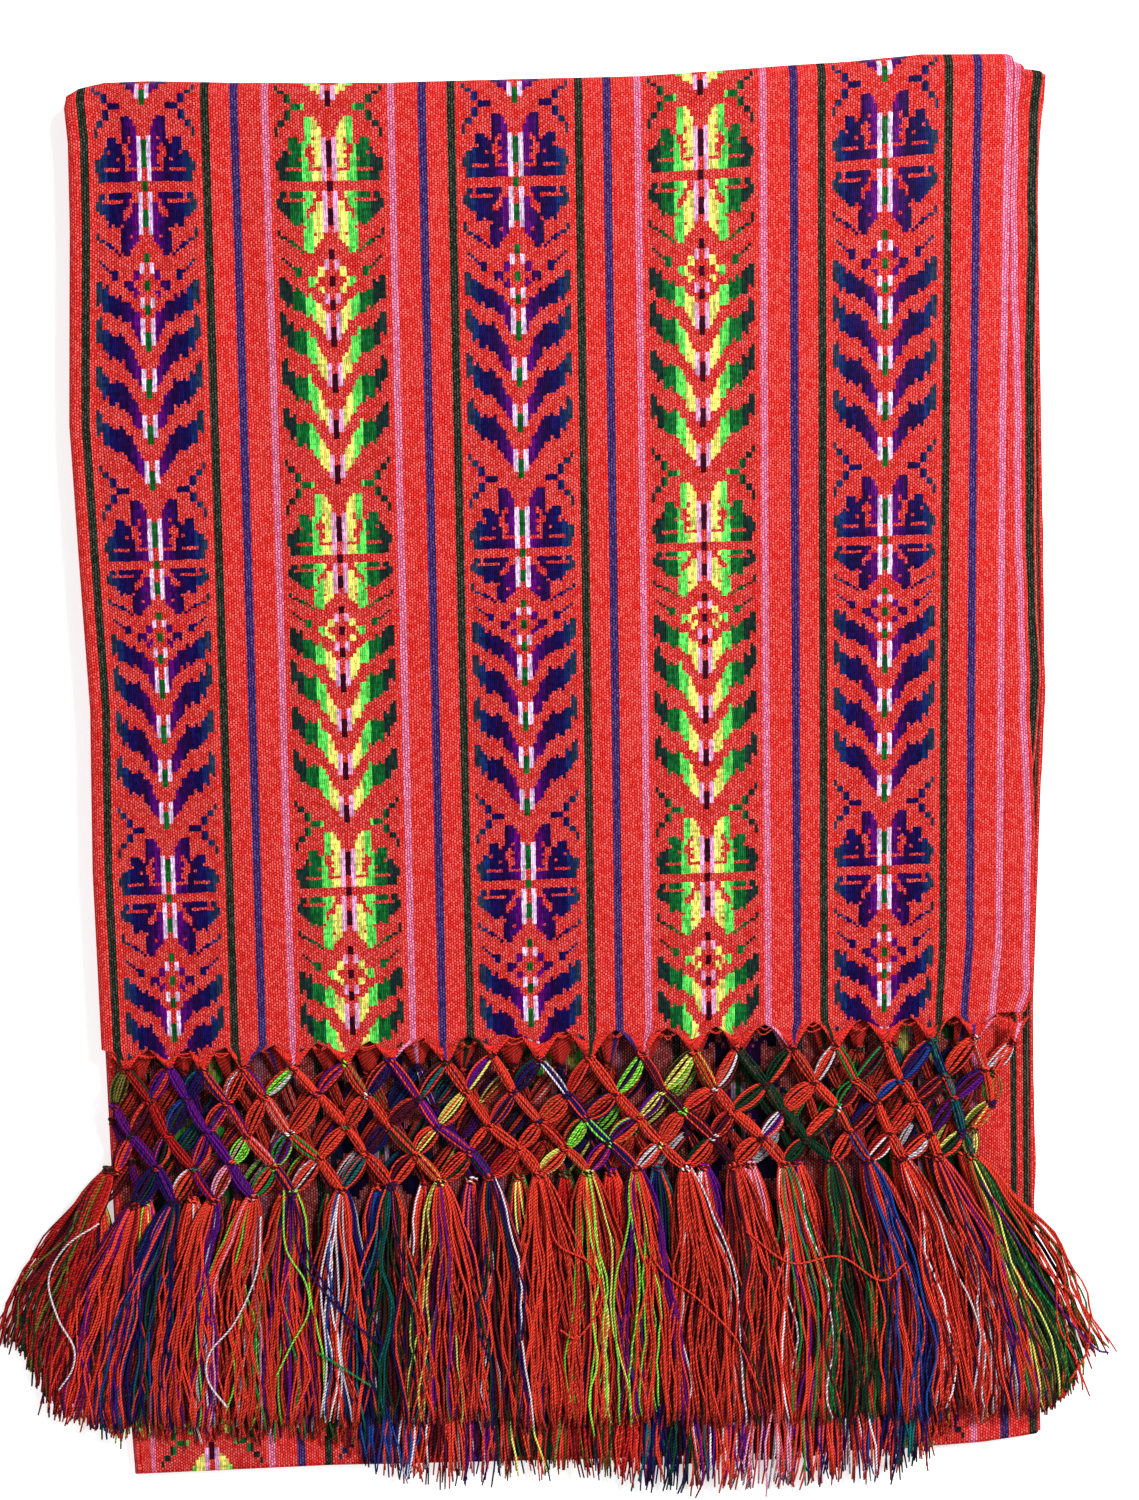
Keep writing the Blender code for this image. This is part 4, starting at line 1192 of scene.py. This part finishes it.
def tassel(name, head, tips, lock_z, run, mixture, surface, noise, shade, count, spread, bell):
    """A tassel: a wound head and the yarns that hang from it, loosely waved and uneven in length."""
    yarns = Yarns()
    head_x, head_y = head
    first_x, last_x, tip_line = tips

    def tint(colour):
        # a random tone per yarn, times shade: painted light where a whole row is lightened
        return tuple(np.array(colour) * shade * noise.uniform(0.66, 1.12))

    order = noise.permutation(count)
    own_length = noise.uniform(0.965, 1.015)
    t = np.linspace(0.0, 1.0, 17)
    clumps = 6
    clump_wave = [(noise.uniform(0.8, 2.4), noise.uniform(0.7, 1.7), noise.random()) for _ in range(clumps)]
    clump_colour = [mixture[noise.integers(MAIN_COLOURS)] for _ in range(clumps)]
    for number in range(count):
        share = (number + 0.5) / count
        clump = min(clumps - 1, int(share * clumps + noise.uniform(0.0, 0.5)))
        start = np.array([head_x + (share - 0.5) * 3.6, head_y + 0.6])
        tip_x = mix(first_x, last_x, share) + noise.normal(0.0, 2.4)
        tip_y = HEM_Y - float(read(tip_line, tip_x)) + SKEW * tip_x
        reach = own_length + noise.normal(0.0, 1.0) * spread
        end = start + (np.array([tip_x, tip_y]) - start) * reach
        opened = 1.0 - (1.0 - t) ** bell
        level = order[number] / count
        size, turns, phase = clump_wave[clump]
        swing = size * (np.sin(math.tau * (turns * t + phase)) - math.sin(math.tau * phase))
        own = noise.uniform(0.4, 1.7) * np.sin(math.tau * (noise.uniform(1.0, 3.2) * t + noise.random()))
        ripple = noise.uniform(0.1, 0.3) * np.sin(math.tau * (noise.uniform(5.0, 9.0) * t + noise.random()))
        x = mix(start[0], end[0], opened) + (swing + own + ripple) * smooth(0.04, 0.4, t)
        y = mix(start[1], end[1], t)
        bulb = np.sin(math.pi * np.minimum(1.0, t * 5.0)) * (share - 0.5) * 2.6
        lift = mix(0.2, 3.0, level) * (0.45 + 0.55 * np.sin(math.pi * np.minimum(1.0, 0.12 + t)))
        z = lock_z + 0.5 + lift - drop(x, y, run, lock_z - 0.2)
        z = np.maximum(z, 0.62)
        choice = noise.random()
        if choice < 0.5:
            colour = clump_colour[clump]
        elif choice < 0.8:
            colour = mixture[noise.integers(MAIN_COLOURS)]
        else:
            colour = mixture[noise.integers(MAIN_COLOURS, len(mixture))]
        chance = noise.random()
        # painted shade: yarns lying lower in the tassel are darker, those on top a little lighter; the second
        # ply is a darker copy, painted shade of the twist
        first = np.array(tint(colour)) * mix(0.34, 1.14, level)
        second = first * (0.5 if chance < 0.3 else 0.88)
        yarns.add(np.stack([x + bulb, y, z], axis=1), 0.48 * (1.0 - 0.2 * smooth(0.95, 1.0, t)),
                  tuple(first), tuple(second))
    # painted shade: wide dark maroon yarns laid low under the tassel
    shade_yarns = PAINTED_SHADE_YARNS_AT_ENDS if first_x < -195 or last_x > 185 else PAINTED_SHADE_YARNS
    for number in range(shade_yarns):
        share = (number + 0.5) / shade_yarns
        coarse = np.linspace(0.0, 0.93, 7)
        tip_x = mix(first_x + 2.0, last_x - 2.0, share)
        tip_y = HEM_Y - float(read(tip_line, tip_x)) + SKEW * tip_x
        x = mix(head_x + (share - 0.5) * 2.6, tip_x, 1.0 - (1.0 - coarse) ** bell)
        y = mix(head_y + 0.4, tip_y, coarse)
        z = np.maximum(lock_z + 0.3 - drop(x, y, run, lock_z - 0.2), 0.95)
        yarns.add(np.stack([x, y, z], axis=1), 0.9, tuple(np.array(COTTON["maroon"]) * 0.8), DARK)
    for colour, line in STRAYS.get(name, ()):
        reach = np.linspace(0.0, 1.0, len(line))
        fine = np.linspace(0.0, 1.0, 8 * len(line))
        x, y = (catmull([point[axis] for point in line], reach, fine) for axis in (0, 1))
        z = np.maximum(lock_z + 4.0 - drop(x, y, run, lock_z - 0.2), 0.7)
        # painted shade: the second ply is a darker copy
        yarns.add(np.stack([x, y, z], axis=1), 0.42, COTTON[colour], tuple(np.array(COTTON[colour]) * 0.7))
    for turn_way, turns in ((-68, 1.6), (-112, 1.4)):
        colour = tint(mixture[noise.integers(len(mixture))])
        centre = (head_x, head_y + noise.uniform(-0.5, 0.8), lock_z + 1.6)
        direction = math.radians(turn_way + noise.uniform(-12, 12))
        # painted shade: the wound yarn's second ply is dark
        wrapped_knot(yarns, centre, direction, turns, 2.2, 1.8, 2.0, 0.55, colour, tint(DARK))
    return yarns.build(name, surface)


def tassel_row(prefix, node_prefix, heads, tip_line, lock_z, run, surface, seed, shade, count, spread,
               offset):
    first_x, last_x = tip_line[0][0], tip_line[-1][0]
    wide = (last_x - first_x) / len(heads)
    noise = np.random.default_rng(seed)
    for number, head in enumerate(heads):
        left = first_x + wide * number
        mixture = cotton(TASSELS[(number + offset) % len(TASSELS)])
        from_side = min(3, number, len(heads) - 1 - number)
        tips = (left - 3.0, left + wide + 3.0, tip_line)
        piece = tassel(f"{prefix}_{number + 1:02d}", head, tips, lock_z, run, mixture, surface, noise, shade,
                       round(count * YARN_SHARES[from_side]), spread, BELLS[from_side])
        dress(piece, f"{node_prefix}_{number + 1:02d}")


# Scene

def camera_and_lights():
    camera = bpy.data.cameras.new("view")
    camera.sensor_fit = "VERTICAL"
    camera.sensor_height = 24.0
    camera.lens = 28.8
    obj = bpy.data.objects.new("view", camera)
    obj.location = (-0.02119, 0.07948, 0.68389)
    obj.rotation_euler = (-0.08856, -0.03475, -0.01580)
    bpy.context.scene.collection.objects.link(obj)
    bpy.context.scene.camera = obj

    for name, place, size, power in (
        ("key", (0.8, 0.7, 1.15), 0.4, 32.0),
        ("fill", (-1.1, -0.4, 1.3), 1.0, 7.0),
    ):
        lamp = bpy.data.lights.new(name, "AREA")
        lamp.shape = "DISK"
        lamp.size = size
        lamp.energy = power
        light = bpy.data.objects.new(name, lamp)
        light.location = place
        light.rotation_euler = (-Vector(place)).to_track_quat("-Z", "Y").to_euler()
        bpy.context.scene.collection.objects.link(light)
    world = bpy.data.worlds.new("studio")
    world.use_nodes = True
    background = world.node_tree.nodes["Background"]
    background.inputs["Color"].default_value = (1.0, 1.0, 1.0, 1.0)
    background.inputs["Strength"].default_value = 0.32
    bpy.context.scene.world = world
    bpy.context.scene.view_settings.view_transform = "Standard"


def floor():
    nodes = Nodes("pale_floor")
    for socket, value in (
        ("Base Color", (0.93, 0.93, 0.93, 1.0)), ("Roughness", 0.9), ("Specular IOR Level", 0.1),
        ("Emission Color", (1.0, 1.0, 1.0, 1.0)), ("Emission Strength", 0.5),
    ):
        nodes.shader.inputs[socket].default_value = value
    half = 4.0
    points = np.array([(-half, -half, 0), (half, -half, 0), (half, half, 0), (-half, half, 0)])
    mesh_object("floor", points, np.array([[0, 1, 2, 3]]), nodes.material)


def dress(piece, node):
    """Puts a piece on the part, in place of a node of the solids."""
    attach(piece, "root")
    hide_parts(node)


def warp_colour(x):
    """The colour of the warp at a place along the front hem."""
    column = int(np.searchsorted(front_weave.edges, x)) - 1
    pink_x, pink_half = PINK_WARP
    kind = PINK if abs(x - pink_x) < pink_half else front_weave.kinds[column]
    return STRIPES.get(kind, CORAL)


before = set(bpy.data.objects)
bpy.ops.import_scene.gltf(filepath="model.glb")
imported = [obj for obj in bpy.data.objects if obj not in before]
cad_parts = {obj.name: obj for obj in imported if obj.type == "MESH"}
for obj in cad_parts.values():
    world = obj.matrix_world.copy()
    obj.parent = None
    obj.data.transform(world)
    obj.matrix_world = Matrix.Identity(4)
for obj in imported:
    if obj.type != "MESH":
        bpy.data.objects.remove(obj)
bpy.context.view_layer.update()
camera_and_lights()
floor()
cloth = cloth_material("woven_cotton")
front = front_cloth(cloth)
dress(front, "front_layer")
lower = lower_cloth(cloth)
dress(lower, "back_fold")
underside = under_cloth(cloth)
dress(underside, "back_fold")
inner = inner_cloth(cloth)
dress(inner, "inner_layers")
yarn = yarn_material("twisted_cotton")
outer_head, *heads = places_across(FRONT_HEADS)
front_places = loosened(knot_places(places_across(FRONT_KNOTS), heads, NET_ROWS_FRONT), 71)
for row in front_places[1::2]:
    row[-1] = (row[-1][0] - FRONT_NET_IN, row[-1][1])
under_places = knot_places(places_across(UNDER_KNOTS), places_across(UNDER_HEADS), NET_ROWS_UNDER)
under_places = [[(x - UNDER_NET_IN * max(0.0, x - UNDER_NET_IN_FROM), y) for x, y in row]
                for row in loosened(under_places, 73)]
front_weave = Weave(FIRST_BAND, BAND_PITCH, True)
front_yarns, net_noise, net_tint = net(front_places, FRONT_NET_Z, 51, outer_tassel=True)
header(front_yarns, net_noise, net_tint, front_places[0], FRONT_NET_Z[0], warp_colour, UPPER_TOP - 0.5,
       FAN_DEPTH, FAN_PULL)
front_net = front_yarns.build("front_net", yarn)
dress(front_net, "front_lattice")
# painted shade: the under net's yarns are all darkened by half
under_yarns, net_noise, net_tint = net(under_places, UNDER_NET_Z, 57, shade=0.5)
header(under_yarns, net_noise, net_tint, under_places[0], UNDER_NET_Z[0], warp_colour, UPPER_BASE + 2.5)
under_net = under_yarns.build("under_net", yarn)
dress(under_net, "under_lattice")
outer_knot = (outer_head, front_places[-2][0][1])
tassel_row("yarns_front", "tassel_front", [outer_knot] + front_places[-1], FRONT_TIP_LINE, FRONT_LOCK_Z - 0.4,
           FRONT_DROP_RUN, yarn, 61, 1.0, 50, 0.022, 0)
# painted light: the under tassels' yarns are lightened by a quarter
tassel_row("yarns_under", "tassel_under", under_places[-1], UNDER_TIP_LINE, UNDER_LOCK_Z, UNDER_DROP_RUN,
           yarn, 67, 1.25, 45, 0.028, 11)
